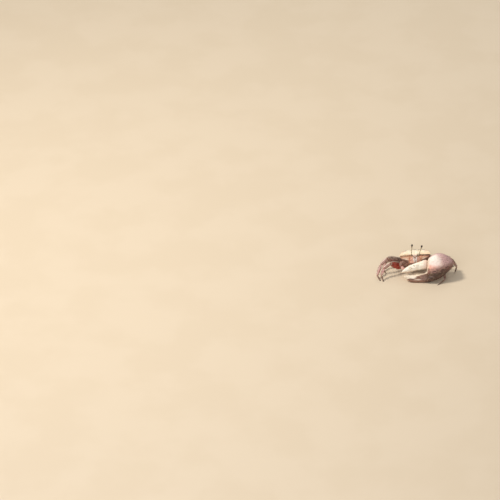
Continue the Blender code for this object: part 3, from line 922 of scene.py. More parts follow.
@dataclass(frozen=True)
class LimbShell(Shell):
    """A limb's shell, placed by the share of its length, its height and its front, from -1 to 1."""

    part: Limb = Limb.THIGH

    def pattern(self, brush: Brush) -> None:
        """The part's two ground colours in patches, then its own marks."""
        light, dark = self.part.value
        brush.lay(light)
        brush.lay(dark, brush.patches(1.9, 0.42, 0.60, self.seed), 0.85)
        brush.lay("#DCC7B4", brush.patches(0.8, 0.56, 0.66, self.seed + 3.0), 0.45)
        if self.part in (Limb.THIGH, Limb.RED_THIGH):
            self.thigh(brush)
        elif self.part is Limb.WRIST:
            # Painted highlight: a whitish band along the upper front edge.
            brush.lay("#EADCD0", brush.zone(1, 0.45, 0.9, 0.08), brush.zone(2, -0.2, 0.5), 0.75)
            brush.lay("#D3A79D", brush.zone(2, 0.2, 0.8, 0.1), 0.5)
        elif self.part in (Limb.SHIN, Limb.LEFT_SHIN):
            brush.lay("#6F4B41", brush.zone(1, 0.45, 0.85, 0.07, 1.2, fold=True), 0.65)
            brush.lay("#EBD2CA", brush.patches(0.9, 0.52, 0.62, self.seed + 8.0), 0.5)
        elif self.part in (Limb.TOE, Limb.LEFT_TOE):
            brush.lay("#C9A48E", brush.zone(0, 0.35, 0.05, 0.03), 0.7)
            brush.lay("#33221B", brush.zone(0, 0.72, 0.93, 0.02), 0.9)
        elif self.part is Limb.CLAW_ARM:
            brush.lay("#B3604A", brush.zone(2, 0.1, 0.8, 0.1), 0.6)
        elif self.part is Limb.SMALL_HAND:
            brush.lay("#EBCDB6", brush.zone(0, 0.55, 0.95, 0.05), 0.8)

    def thigh(self, brush: Brush) -> None:
        """Dark bands across the thigh, a pale dusty crest and, in front, the red patch."""
        wide = brush.patches(2.4, 0.48, 0.57, self.seed + 21.0, (1.0, 0.4, 0.4))
        brush.lay("#473229", wide, brush.zone(1, -0.2, 0.4, 0.15), 0.7)
        brush.lay("#B8A594", brush.zone(1, 0.70, 0.95, 0.08), 0.5)
        if self.part is Limb.RED_THIGH:
            patch = brush.both(brush.zone(2, -0.15, 0.35, 0.08), brush.zone(1, 0.80, 0.55, 0.07))
            patch = brush.both(patch, brush.zone(0, 0.97, 0.90, 0.02))
            red = brush.over("#B03A28", "#86231A", brush.patches(2.2, 0.42, 0.62, 31.0), 0.9)
            red = brush.over(red, "#CC6546", brush.patches(0.7, 0.55, 0.68, 33.0), 0.4)
            brush.lay(red, patch, 0.95)
        else:
            brush.lay("#9C4F3B", brush.zone(2, 0.1, 0.8, 0.1), brush.zone(1, 0.2, -0.4, 0.1), 0.5)


@dataclass(frozen=True)
class StalkShell(Shell):
    """The eyestalk's smooth thin shell, placed by the share of its length."""

    def pattern(self, brush: Brush) -> None:
        """Olive tan with brown clouds, browner towards the eye and dark at the foot."""
        brush.lay("#DACDAE")
        brush.lay("#A89A7C", brush.patches(0.9, 0.42, 0.6, 2.0), 0.8)
        brush.lay("#6E5F4B", brush.patches(0.5, 0.58, 0.66, 4.0), 0.45)
        brush.lay("#7A6048", brush.zone(0, 0.70, 1.0, 0.03, 1.0), 0.8)
        brush.lay("#5B352B", brush.zone(0, 0.16, 0.05, 0.02, 1.0), 0.8)


@dataclass(frozen=True)
class Cornea(Finish):
    """The eye: a clear hard skin of hundreds of lenses over black-brown pigment, so it glints."""

    name: str = "eye_cornea"
    lens: float = 0.13

    def material(self) -> bpy.types.Material:
        """Near black with a brown glow, a lens grid and a clear coat."""
        brush = Brush(self.name)
        brush.lay("#140D0A")
        brush.lay("#3A2318", brush.patches(0.8, 0.4, 0.65, 3.0), 0.7)
        # A real lens is 0.03 mm wide; it is drawn at 0.13 mm so that the grid shows
        inputs = {"Vector": brush.spot, "Scale": 1.0 / self.lens, "Randomness": 0.25}
        cells = brush.add("TexVoronoi", inputs).outputs["Distance"]
        inputs = {"Height": cells, "Distance": 0.02 * MM, "Strength": 0.5}
        dimpled = brush.add("Bump", inputs, invert=True).outputs[0]
        return brush.finish(Normal=dimpled, Roughness=0.22, IOR=1.50, Coat_Weight=0.8, Coat_Roughness=0.06)


@dataclass(frozen=True)
class JointSkin(Finish):
    """The soft skin in a joint: uncalcified chitin, creased across and slightly moist."""

    name: str = "joint_skin"

    def material(self) -> bpy.types.Material:
        """Red-brown, paler on the creases."""
        brush = Brush(self.name)
        creases = brush.patches(0.30, 0.40, 0.62, 2.0, (1.0, 1.0, 2.4), 2.0)
        brush.lay("#74453A")
        brush.lay("#B58470", creases, 0.8)
        brush.lay("#D9C2A6", brush.patches(1.4, 0.52, 0.66, 5.0), 0.4)
        inputs = {"Height": creases, "Distance": 0.05 * MM, "Strength": 0.9}
        folded = brush.add("Bump", inputs).outputs[0]
        return brush.finish(Normal=folded, Roughness=0.38, IOR=1.48)


@dataclass(frozen=True)
class Bristle(Finish):
    """Bristles: thin solid chitin hairs, brown at the root and straw-coloured at the tip."""

    name: str = "bristle_chitin"
    root: str = "#4A382B"
    tip: str = "#B59C78"

    def material(self) -> bpy.types.Material:
        """Brown to straw along the hair, with a silky shine."""
        brush = Brush(self.name)
        brush.lay(self.root)
        brush.lay(self.tip, brush.zone(0, 0.1, 1.0), 1.0)
        brush.lay("#8C7A60", brush.patches(1.5, 0.5, 0.65, 4.0), 0.5)
        return brush.finish(Roughness=0.5, IOR=1.54)


@dataclass(frozen=True)
class StudioPaper(Finish):
    """The studio's paper sweep: matt uncoated stock in a warm pale tone."""

    name: str = "matt_paper"
    tone: str = "#D9CBB5"

    def material(self) -> bpy.types.Material:
        """A flat warm tone with a faint cloudiness."""
        brush = Brush(self.name)
        brush.lay(self.tone)
        brush.lay("#D3C4AC", brush.patches(60.0, 0.4, 0.6, 2.0), 0.4)
        return brush.finish(Roughness=0.92)


@lru_cache(maxsize=None)
def material_of(finish: Finish) -> bpy.types.Material:
    """The material of a finish, made once."""
    return finish.material()


def put(name: str, data: bpy.types.ID) -> bpy.types.Object:
    """Make an object of a mesh, camera or light and put it in the scene."""
    made = bpy.data.objects.new(name, data)
    bpy.context.scene.collection.objects.link(made)
    return made


def dressed(bm: Bm, name: str, finish: Finish) -> bpy.types.Object:
    """Turn a skin in metres into an object in the scene.

    Args:
        bm: the skin, which is freed.
        name: the object's name.
        finish: what it is dressed in.

    Returns:
        The object.
    """
    mesh = bpy.data.meshes.new(name)
    bm.to_mesh(mesh)
    bm.free()
    mesh.materials.append(material_of(finish))
    return put(name, mesh)


def deliver(bm: Bm, name: str, finish: Finish, slot: str, *nodes: str) -> None:
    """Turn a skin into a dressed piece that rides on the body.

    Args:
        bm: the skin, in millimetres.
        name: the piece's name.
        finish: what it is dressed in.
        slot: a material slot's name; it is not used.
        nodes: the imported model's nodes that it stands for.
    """
    inside_box(bm)
    bmesh.ops.scale(bm, vec=(MM, MM, MM), verts=bm.verts)
    piece = dressed(bm, name, finish)
    piece.data.shade_smooth()
    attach(piece, BODY)
    if nodes:
        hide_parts(*nodes)
    piece.data.calc_loop_triangles()
    log.info("%s: %d triangles in %s", name, len(piece.data.loop_triangles), finish.name)


# Body


GROOVES = (
    ((0.0, 0.9), (0.0, 3.6)),
    ((3.3, 3.4), (3.9, 6.0), (3.2, 8.4), (2.8, 10.2), (3.5, 12.6), (4.5, 15.2)),
    ((0.0, 9.7), (1.6, 9.9), (2.9, 9.4)),
    ((3.5, 4.4), (6.2, 3.6), (9.6, 3.4)),
    ((3.9, 6.6), (7.2, 6.2), (11.2, 5.0)),
    ((0.0, 14.9), (2.4, 15.2), (4.3, 14.6)),
)
SWELLS = ((8.7, 10.6, 3.1, 0.42), (9.4, 4.6, 1.8, 0.14), (0.0, 6.2, 2.6, 0.26), (0.0, 12.4, 2.0, 0.24))


@dataclass
class BackPlate(Moulding):
    """The back shell: a dome with the front lobe between the eyes, grooves and a beaded ridge."""

    inner_rows: float = 0.13
    rim_rows: float = 0.20
    shoulder: float = 0.975
    edge_wide: float = 0.025
    edge_high: float = 0.95
    groove_depth: float = 0.30
    groove_width: float = 0.50
    lobe_half: float = 2.45
    lobe_drop: float = 2.1
    ridge_share: float = 0.935
    bead_step: float = 0.62

    @property
    def middle(self) -> float:
        """Where the rows of the dome close, behind the front edge."""
        return TRUNK.length * 0.46

    def lobe(self, x: float, b: float) -> float:
        """How fully a point belongs to the front lobe."""
        return (1.0 - smooth(0.55, 1.0, abs(x) / self.lobe_half) ** 1.5) * smooth(1.6, 0.6, b)

    def surface(self, u: float, v: float) -> Placed:
        """A point of the shell: inner face, round edge, then the dome."""
        x0, b0 = TRUNK.outline(u)
        if v < self.inner_rows:
            scale = self.shoulder * v / self.inner_rows
            x, b = self.scaled(x0, b0, scale)
            w = TRUNK.height(x, b) - SHELL_THICK + (SHELL_THICK - self.edge_high) * scale**8
            down, edge = 1.0, 2.0
            w += (TRUNK.rim(b) - TRUNK.height(x, b)) * scale**8
            drop = smooth(0.80, self.shoulder, scale)
        elif v < self.inner_rows + self.rim_rows:
            turn = -pi / 2.0 + (v - self.inner_rows) / self.rim_rows * pi
            scale = self.shoulder + self.edge_wide * cos(turn)
            x, b = self.scaled(x0, b0, scale)
            w = TRUNK.rim(b) + self.edge_high / 2.0 * (sin(turn) - 1.0)
            down = (1.0 - sin(turn)) / 2.0
            edge, drop = 1.0 + 0.95 * down, 1.0
        else:
            t = (v - self.inner_rows - self.rim_rows) / (1.0 - self.inner_rows - self.rim_rows)
            scale = self.shoulder * (1.0 - t) ** 1.06
            x, b = self.scaled(x0, b0, scale)
            w = TRUNK.height(x, b) + self.dome(x, b, scale)
            down, edge, drop = 0.0, scale + self.edge_wide, 0.0
        lobe = self.lobe(x, b) * drop
        w -= self.lobe_drop * lobe * down
        b -= lobe * (0.55 * sin(min(1.0, down * 1.25) * pi) + 0.15)
        x *= 1.0 - 0.10 * lobe * down
        return TRUNK.point(x, b, w), Vector((x, b, edge))

    def scaled(self, x: float, b: float, scale: float) -> tuple[float, float]:
        """Draw a point of the outline in towards the middle, to a share of its distance."""
        return x * scale, self.middle + (b - self.middle) * scale

    def dome(self, x: float, b: float, scale: float) -> float:
        """Grooves, swellings and the beaded side ridge, faded out at the edge.

        Args:
            x: the point's distance to the left.
            b: its distance behind the front edge.
            scale: how far out it is, from 0 at the middle to 1 at the outline.

        Returns:
            How far the dome rises there.
        """
        across = abs(x)
        rise = 0.0
        for path in GROOVES:
            gap = path_distance(across, b, path)
            if gap < 3.0 * self.groove_width:
                rise -= self.groove_depth * hump(gap, 0.0, self.groove_width)
        for sx, sb, wide, high in SWELLS:
            rise += high * exp(-((across - sx) ** 2 + (b - sb) ** 2) / wide**2)
        gap = across - self.ridge_share * TRUNK.half_width(b)
        beads = 0.60 + 0.40 * cos(ROUND * b / self.bead_step)
        rise += 0.26 * hump(gap, 0.0, 0.26) * beads * smooth(0.2, 1.2, b) * smooth(17.5, 14.0, b)
        rise += 0.16 * hump(b, 0.75 + 0.35 * sin(across), 0.45) * smooth(2.0, 3.2, across)
        grain = smooth(6.5, 9.5, across) * smooth(2.0, 5.0, b)
        rise += 0.07 * grain * pebbles(Vector((x, b, 0.0)), 0.95, 3.0)
        rise += 0.10 * noise.noise(Vector((x * 0.32, b * 0.4, 2.0)))
        return rise * smooth(1.0, 0.93, scale)

    def build(self) -> None:
        """Model and dress the back shell."""
        finish = BackShell("back_chitin", grain=0.4, height=0.025)
        deliver(self.mould(300, 120), "back_shell_plate", finish, "back_shell", "carapace")


@dataclass
class SocketTrough(Moulding):
    """The trough that one eyestalk folds down into."""

    side: Side

    def surface(self, u: float, v: float) -> Placed:
        """A point of the trough, from the middle outwards."""
        t, grow = rounded(v, 0.04, 0.05)
        x = self.side.value * (2.3 + 11.2 * t)
        c, s = oval(ROUND * u, 0.75 * grow, (0.62 - 0.2 * t) * grow, 2.6)
        b = 2.15 - 0.55 * t + 0.5 * sin(t * pi) + c
        return TRUNK.point(x, b, -1.62 + s), Vector((x, s, -c))


@dataclass
class Cheeks(Moulding):
    """The face below the sockets, their dark lining and the row of teeth along their lower rim."""

    half: float = 14.0
    tooth_from: float = 3.6
    tooth_to: float = 13.0
    tooth_step: float = 0.66

    def section(self, x: float) -> tuple[float, float, float, float]:
        """The face's section at a distance across.

        Args:
            x: the distance.

        Returns:
            The heights of its top and bottom, and how far back its front and back are.
        """
        side = min(1.0, abs(x) / self.half)
        top = -1.75 - 0.25 * side
        bottom = -10.4 + 5.8 * max(0.0, side - 0.30) ** 1.3 / 0.7**1.3
        open_mouth = smooth(6.3, 5.2, abs(x))
        front = (-0.25 + 0.7 * side) * (1.0 - open_mouth) + 1.0 * open_mouth
        return top, bottom, front, 3.35

    def surface(self, u: float, v: float) -> Placed:
        """A point of the face, from its right corner to its left."""
        t, grow = rounded(v, 0.02, 0.02)
        x = self.half * (2.0 * t - 1.0)
        top, bottom, front, back = self.section(x)
        c, s = oval(ROUND * u, 1.0, 1.0, 3.4)
        b = (front + back) / 2.0 + c * grow * (back - front) / 2.0
        w = (top + bottom) / 2.0 + s * grow * (top - bottom) / 2.0
        return TRUNK.point(x, b, w), Vector((x, w, -c))

    def relief(self, point: Vector, place: Vector) -> float:
        """Bulging cheeks, the mouth frame's rim and a groove under the socket."""
        if place.z < 0.2:
            return 0.0
        top, bottom, _front, _back = self.section(place.x)
        across, high, front = abs(place.x), (2.0 * place.y - top - bottom) / (top - bottom), place.z
        rise = 0.35 * hump(across, 8.6, 2.6) * hump(high, -0.1, 0.6)
        rise += 0.28 * hump(across, 6.0, 0.35) * smooth(0.9, 0.5, high)
        rise -= 0.30 * hump(high, 0.55 - 0.03 * across, 0.10) * smooth(5.8, 6.6, across)
        rise += 0.05 * pebbles(point, 0.9, 5.0)
        return rise * smooth(0.2, 0.7, front)

    def build(self) -> None:
        """Model and dress the face, its socket teeth and the socket linings."""
        bm = self.mould(96, 180)
        for side in Side:
            x = self.tooth_from
            while x < self.tooth_to:
                top, _bottom, front, _back = self.section(x)
                size = 0.19 + 0.07 * smooth(5.0, 12.0, x)
                centre = TRUNK.point(side.value * x, front + 0.22, top + 0.02)
                place = Vector((side.value * x, -4.0, 1.0))
                bead(bm, centre, BODY_TURN, (size * 1.15, size, size * 1.25), place)
                x += self.tooth_step
        deliver(bm, "cheek_plates", FaceShell("face_chitin", grain=0.42, height=0.04), "face", "face")
        lining = SocketLining("socket_chitin", roughness=0.3, mud=0.1, grain=0.3)
        for side in Side:
            deliver(SocketTrough(side).mould(32, 60), f"socket_{side.word}", lining, "face")


# The mouth's lower end, from the body's front edge, and its height, in millimetres
MOUTH_LOW = -10.6
MOUTH_TALL = 7.2


@dataclass
class MouthPlate(Moulding):
    """One flat plate of a mouthpart, between two shares of the mouth's height."""

    side: Side
    start: float
    end: float
    halves: Course = Course((0.0, 1.7), (0.18, 2.3), (0.5, 2.42), (0.8, 2.15), (1.0, 1.4))

    def surface(self, u: float, v: float) -> Placed:
        """A point of the plate, bulging forwards."""
        t, grow = rounded(v, 0.10, 0.10)
        along = self.start + (self.end - self.start) * t
        half = self.halves.at(along)[0]
        grow = grow**0.6
        c, s = oval(ROUND * u, half * grow, 0.60 * grow, 2.8)
        x, w = 2.62 + c, MOUTH_LOW + MOUTH_TALL * along
        bulge = -0.22 * (1.0 - (c / half) ** 2) if s < 0.0 else 0.0
        return TRUNK.point(self.side.value * x, 0.05 + 0.25 * along + s + bulge, w), Vector((x, w, 0.0))

    def relief(self, point: Vector, place: Vector) -> float:
        """The long groove down the plate."""
        return -0.18 * hump(place.x, 3.5, 0.28) * smooth(-3.6, -5.0, place.y)


@dataclass
class MouthStrip(Moulding):
    """The thin strip outside a mouthpart's plates."""

    side: Side

    def surface(self, u: float, v: float) -> Placed:
        """A point of the strip, from the bottom up."""
        t, grow = rounded(v, 0.05, 0.06)
        w = MOUTH_LOW + 0.6 + 6.2 * t
        c, s = oval(ROUND * u, (0.42 - 0.16 * t) * grow, 0.34 * grow)
        x = 5.25 + 0.25 * sin(t * pi) - 0.3 * t + c
        return TRUNK.point(self.side.value * x, 0.12 + s, w), Vector((x, w, 2.0))


@dataclass
class PalpJoint(Moulding):
    """One joint of a mouthpart's palp, flat from the front."""

    side: Side
    begin: Spot
    end: Spot
    size: float

    def surface(self, u: float, v: float) -> Placed:
        """A point of the joint, which tapers towards its end."""
        t, grow = rounded(v, 0.22, 0.22)
        x, b, w = (one + (two - one) * t for one, two in zip(self.begin, self.end))
        wide = self.size * grow * (1.0 - 0.40 * t * t)
        c, s = oval(ROUND * u, wide, wide * 0.7)
        across, up = (c, 0.0) if abs(self.end[2] - self.begin[2]) > 0.5 else (0.0, c)
        return TRUNK.point(self.side.value * (x + across), b + s, w + up), Vector((x, w, 1.0))


@dataclass
class Mouth:
    """The two outer mouthparts: each two plates, a side strip and a palp folded down the middle."""

    plates: tuple[tuple[float, float], ...] = ((0.0, 0.63), (0.645, 1.0))
    palp: tuple[Spot, ...] = ((2.2, 0.2, -3.3), (1.55, -0.5, -3.2), (1.02, -0.95, -4.1), (0.86, -0.9, -8.2))
    palp_sizes: Spot = (0.62, 0.74, 0.92)

    def build(self) -> None:
        """Model and dress both mouthparts."""
        finish = MouthShell("mouth_chitin", grain=0.4, height=0.03, roughness=0.38)
        for side in Side:
            parts = [MouthPlate(side, start, end).mould(56, 60) for start, end in self.plates]
            parts.append(MouthStrip(side).mould(16, 40))
            for joint in zip(self.palp, self.palp[1:], self.palp_sizes):
                parts.append(PalpJoint(side, *joint).mould(16, 24))
            name = f"mouthpart_{side.word}"
            deliver(join(*parts), f"{name}_plates", finish, "mouthparts", name)


@dataclass
class Underbody(Moulding):
    """The lower body: side walls under the back shell and the plates of the breast."""

    front: float = 3.3
    fall: float = 0.05
    under: float = 1.95
    plate_seams: tuple[float, ...] = (5.6, 8.1, 10.6, 13.0, 15.2)

    def rings(self) -> tuple[tuple[float, float, Callable[[float, float], float]], ...]:
        """The skin's rings from the top down.

        Returns:
            Each ring's scale across, its scale along, and its height over x and b.
        """

        def level(drop: float) -> Callable[[float, float], float]:
            """A height that is a drop below the front edge and falls towards the back."""
            return lambda x, b: -drop - self.fall * b

        def roof(x: float, b: float) -> float:
            """A height just under the back shell."""
            return TRUNK.height(x, b) - self.under

        return (
            (0.0, 0.0, roof),
            (0.35, 0.35, roof),
            (0.78, 0.78, roof),
            (0.93, 0.92, lambda x, b: TRUNK.rim(b) - self.under - 0.25),
            (0.96, 0.95, lambda x, b: TRUNK.rim(b) * 0.75 - 3.6),
            (0.95, 0.95, lambda x, b: TRUNK.rim(b) * 0.3 - 5.9),
            (0.84, 0.90, level(8.0)),
            (0.66, 0.84, level(9.9)),
            (0.50, 0.78, level(BODY_DEPTH)),
            (0.20, 0.40, level(BODY_DEPTH + 0.1)),
            (0.0, 0.0, level(BODY_DEPTH + 0.1)),
        )

    def ring_point(self, x0: float, b0: float, number: int) -> Vector:
        """A point of one ring.

        Args:
            x0: the point's x on the back shell's outline.
            b0: its b there.
            number: the ring's number; past either end it reads as the end.

        Returns:
            The point as (x, b, w).
        """
        rings = self.rings()
        sx, sb, height = rings[min(max(number, 0), len(rings) - 1)]
        middle = TRUNK.length * 0.52
        x, b = x0 * sx, max(self.front, middle + (b0 - middle) * sb)
        return Vector((x, b, height(x, b)))

    def surface(self, u: float, v: float) -> Placed:
        """A point of the skin, eased between its rings."""
        x0, b0 = TRUNK.outline(u)
        row = v * (len(self.rings()) - 1)
        number = min(int(row), len(self.rings()) - 2)
        t = row - number
        before, here, there, after = (self.ring_point(x0, b0, number + step) for step in (-1, 0, 1, 2))
        bend_in, bend_out = (there - before) / 2.0, (after - here) / 2.0
        spot = (2 * here + bend_in - 2 * there + bend_out) * t
        spot = (spot + 3 * there - 3 * here - 2 * bend_in - bend_out) * t
        spot = (spot + bend_in) * t + here
        spot.y = max(self.front, spot.y)
        return TRUNK.point(*spot), spot

    def relief(self, point: Vector, place: Vector) -> float:
        """Seams between the breast plates, the trough of the tail and dents between the hips."""
        across, b, w = abs(place.x), place.y, place.z
        low = smooth(-8.8, -10.4, w)
        rise = 0.0
        for seam in self.plate_seams:
            rise -= 0.26 * hump(b, seam + 0.10 * across, 0.26) * low * smooth(1.2, 2.4, across)
        rise -= 0.22 * hump(across, 6.3, 0.35) * low
        side = smooth(-4.2, -6.5, w) * smooth(-10.6, -9.2, w)
        rise -= 0.25 * side * (0.5 + 0.5 * cos(ROUND * (b - 2.4) / 4.2))
        rise += 0.05 * pebbles(point, 0.8, 9.0) * smooth(-10.0, -7.0, w)
        return rise

    def build(self) -> None:
        """Model and dress the underbody."""
        finish = BellyShell("belly_chitin", grain=0.5)
        deliver(self.mould(220, 110), "breast_shell", finish, "underside", "breastplate")


@dataclass
class TailFlap(Moulding):
    """The narrow tail folded forward under the belly, in seven ringed plates."""

    rear: float = 15.4
    reach: float = 10.6
    halves: Course = Course((0.0, 3.4), (0.2, 3.0), (0.45, 2.1), (0.75, 1.7), (1.0, 1.0))
    seams: tuple[float, ...] = (0.12, 0.27, 0.42, 0.56, 0.69, 0.82)

    def surface(self, u: float, v: float) -> Placed:
        """A point of the flap."""
        t, grow = rounded(v, 0.05, 0.07)
        b = self.rear - self.reach * t
        c, s = oval(ROUND * u, self.halves.at(t)[0] * grow, 0.44 * grow, 2.6)
        w = -BODY_DEPTH - 0.05 * b - 0.82 + s
        return TRUNK.point(c, b, w), Vector((c, t, s))

    def relief(self, point: Vector, place: Vector) -> float:
        """The seams between the ringed plates."""
        return -0.16 * max(hump(place.y, seam, 0.010) for seam in self.seams)

    def build(self) -> None:
        """Model and dress the tail flap."""
        finish = TailShell("tail_chitin", grain=0.5, height=0.03, roughness=0.38)
        deliver(self.mould(48, 130), "tail_flap_plates", finish, "tail_flap", "tail_flap")


# Eyes and feelers


@dataclass
class Eye:
    """One raised eye on its stalk, with the small feeler at the stalk's foot."""

    side: Side
    foot: Vector
    top: Vector
    stalk_radius: float = 0.47
    eye_radius: float = 0.9
    eye_length: float = 1.3
    girth: Course = Course(
        (0.0, 1.0), (0.05, 1.45), (0.10, 1.2), (0.22, 1.0), (0.6, 0.88), (0.86, 1.0), (0.96, 1.35),
        (1.0, 1.3),
    )

    @property
    def along(self) -> Vector:
        """The stalk's direction."""
        return (self.top - self.foot).normalized()

    @property
    def turn(self) -> Matrix:
        """The stalk's axes: across, backwards and along."""
        return axes(self.along, Vector((0.0, 1.0, 0.0)))

    def stalk(self) -> None:
        """Model and dress the stalk, swollen at its foot and cupped round the eye."""
        end = self.top - self.along * (self.eye_length * 0.62)
        across, back, _along = self.turn.transposed()

        def surface(u: float, v: float) -> Placed:
            """A point of the stalk, which sways a little outwards."""
            t, grow = rounded(v, 0.03, 0.03)
            size = self.stalk_radius * self.girth.at(t)[0] * grow
            c, s = oval(ROUND * u, size, size)
            sway = across * (0.16 * sin(t * pi) * self.side.value)
            point = SHIFT + self.foot.lerp(end, t) + across * c + back * s + sway
            return point, Vector((t, c, s))

        bm = skin(32, 110, surface)
        emboss(bm, lambda point, place: 0.020 * noise.noise(point * 2.2) + 0.012 * pebbles(point, 0.3, 2.0))
        finish = StalkShell("stalk_chitin", grain=0.26, height=0.015, roughness=0.4, mud=0.15)
        deliver(bm, f"eyestalk_{self.side.word}_shell", finish, "eyestalks", f"eyestalk_{self.side.word}")

    def ball(self) -> None:
        """Model and dress the eye itself."""

        def surface(u: float, v: float) -> Placed:
            """A point of the eye, egg-shaped."""
            turn, lift = ROUND * u, pi * (v - 0.5)
            wide = self.eye_radius * cos(lift) * (1.0 - 0.07 * sin(lift))
            offset = Vector((wide * cos(turn), wide * sin(turn), self.eye_length * sin(lift)))
            return SHIFT + self.top + self.turn @ offset, offset

        bm = skin(64, 48, surface)
        deliver(bm, f"eye_{self.side.word}_cornea", Cornea(), "eyes", f"eye_{self.side.word}")

    def feeler(self) -> None:
        """Model and dress the short jointed feeler beside the stalk."""
        start = Vector((self.side.value * 2.5, -0.25, -1.75))
        end = Vector((self.side.value * 5.6, -1.35, -0.95))

        def surface(u: float, v: float) -> Placed:
            """A point of the feeler, thin as a bristle at its tip."""
            t, grow = rounded(v, 0.05, 0.02)
            size = (0.36 * smooth(0.3, 0.0, t) + 0.13 - 0.09 * t) * grow
            c, s = oval(ROUND * u, size, size)
            x, b, w = start.lerp(end, t) + Vector((0.0, -0.35, -0.25)) * sin(t * pi)
            return TRUNK.point(x, b + c, w + s), Vector((t, c, s))

        bm = skin(10, 60, surface)
        emboss(bm, lambda point, place: -0.02 * smooth(0.0, 1.0, 0.5 + 0.5 * cos(place.x * 130.0)))
        finish = StalkShell("feeler_chitin", grain=0.2, height=0.01, seed=4.0)
        deliver(bm, f"feeler_{self.side.word}", finish, "eyestalks")

    def build(self) -> None:
        """Model and dress the stalk, the eye and the feeler."""
        self.stalk()
        self.ball()
        self.feeler()


@dataclass
class Body:
    """The crab's body with its face, mouth, tail flap and eyes."""

    eyes: tuple[Eye, ...] = (
        Eye(Side.RIGHT, Vector((-3.1, -1.15, 18.5)), Vector((-2.7, -1.4, 30.5))),
        Eye(Side.LEFT, Vector((3.25, -1.15, 18.5)), Vector((6.5, -1.4, 29.5))),
    )

    def build(self) -> None:
        """Build every part of the body."""
        BackPlate().build()
        Cheeks().build()
        Mouth().build()
        Underbody().build()
        TailFlap().build()
        for eye in self.eyes:
            eye.build()


# Big claw


RIDGE = ((-3.4, -5.3), (-1.2, -6.9), (2.0, -8.7), (6.5, -9.9), (11.0, -10.5))
HOLLOW = ((-6.5, -8.9), (-2.0, -10.0), (3.5, -11.5), (9.0, -12.6))


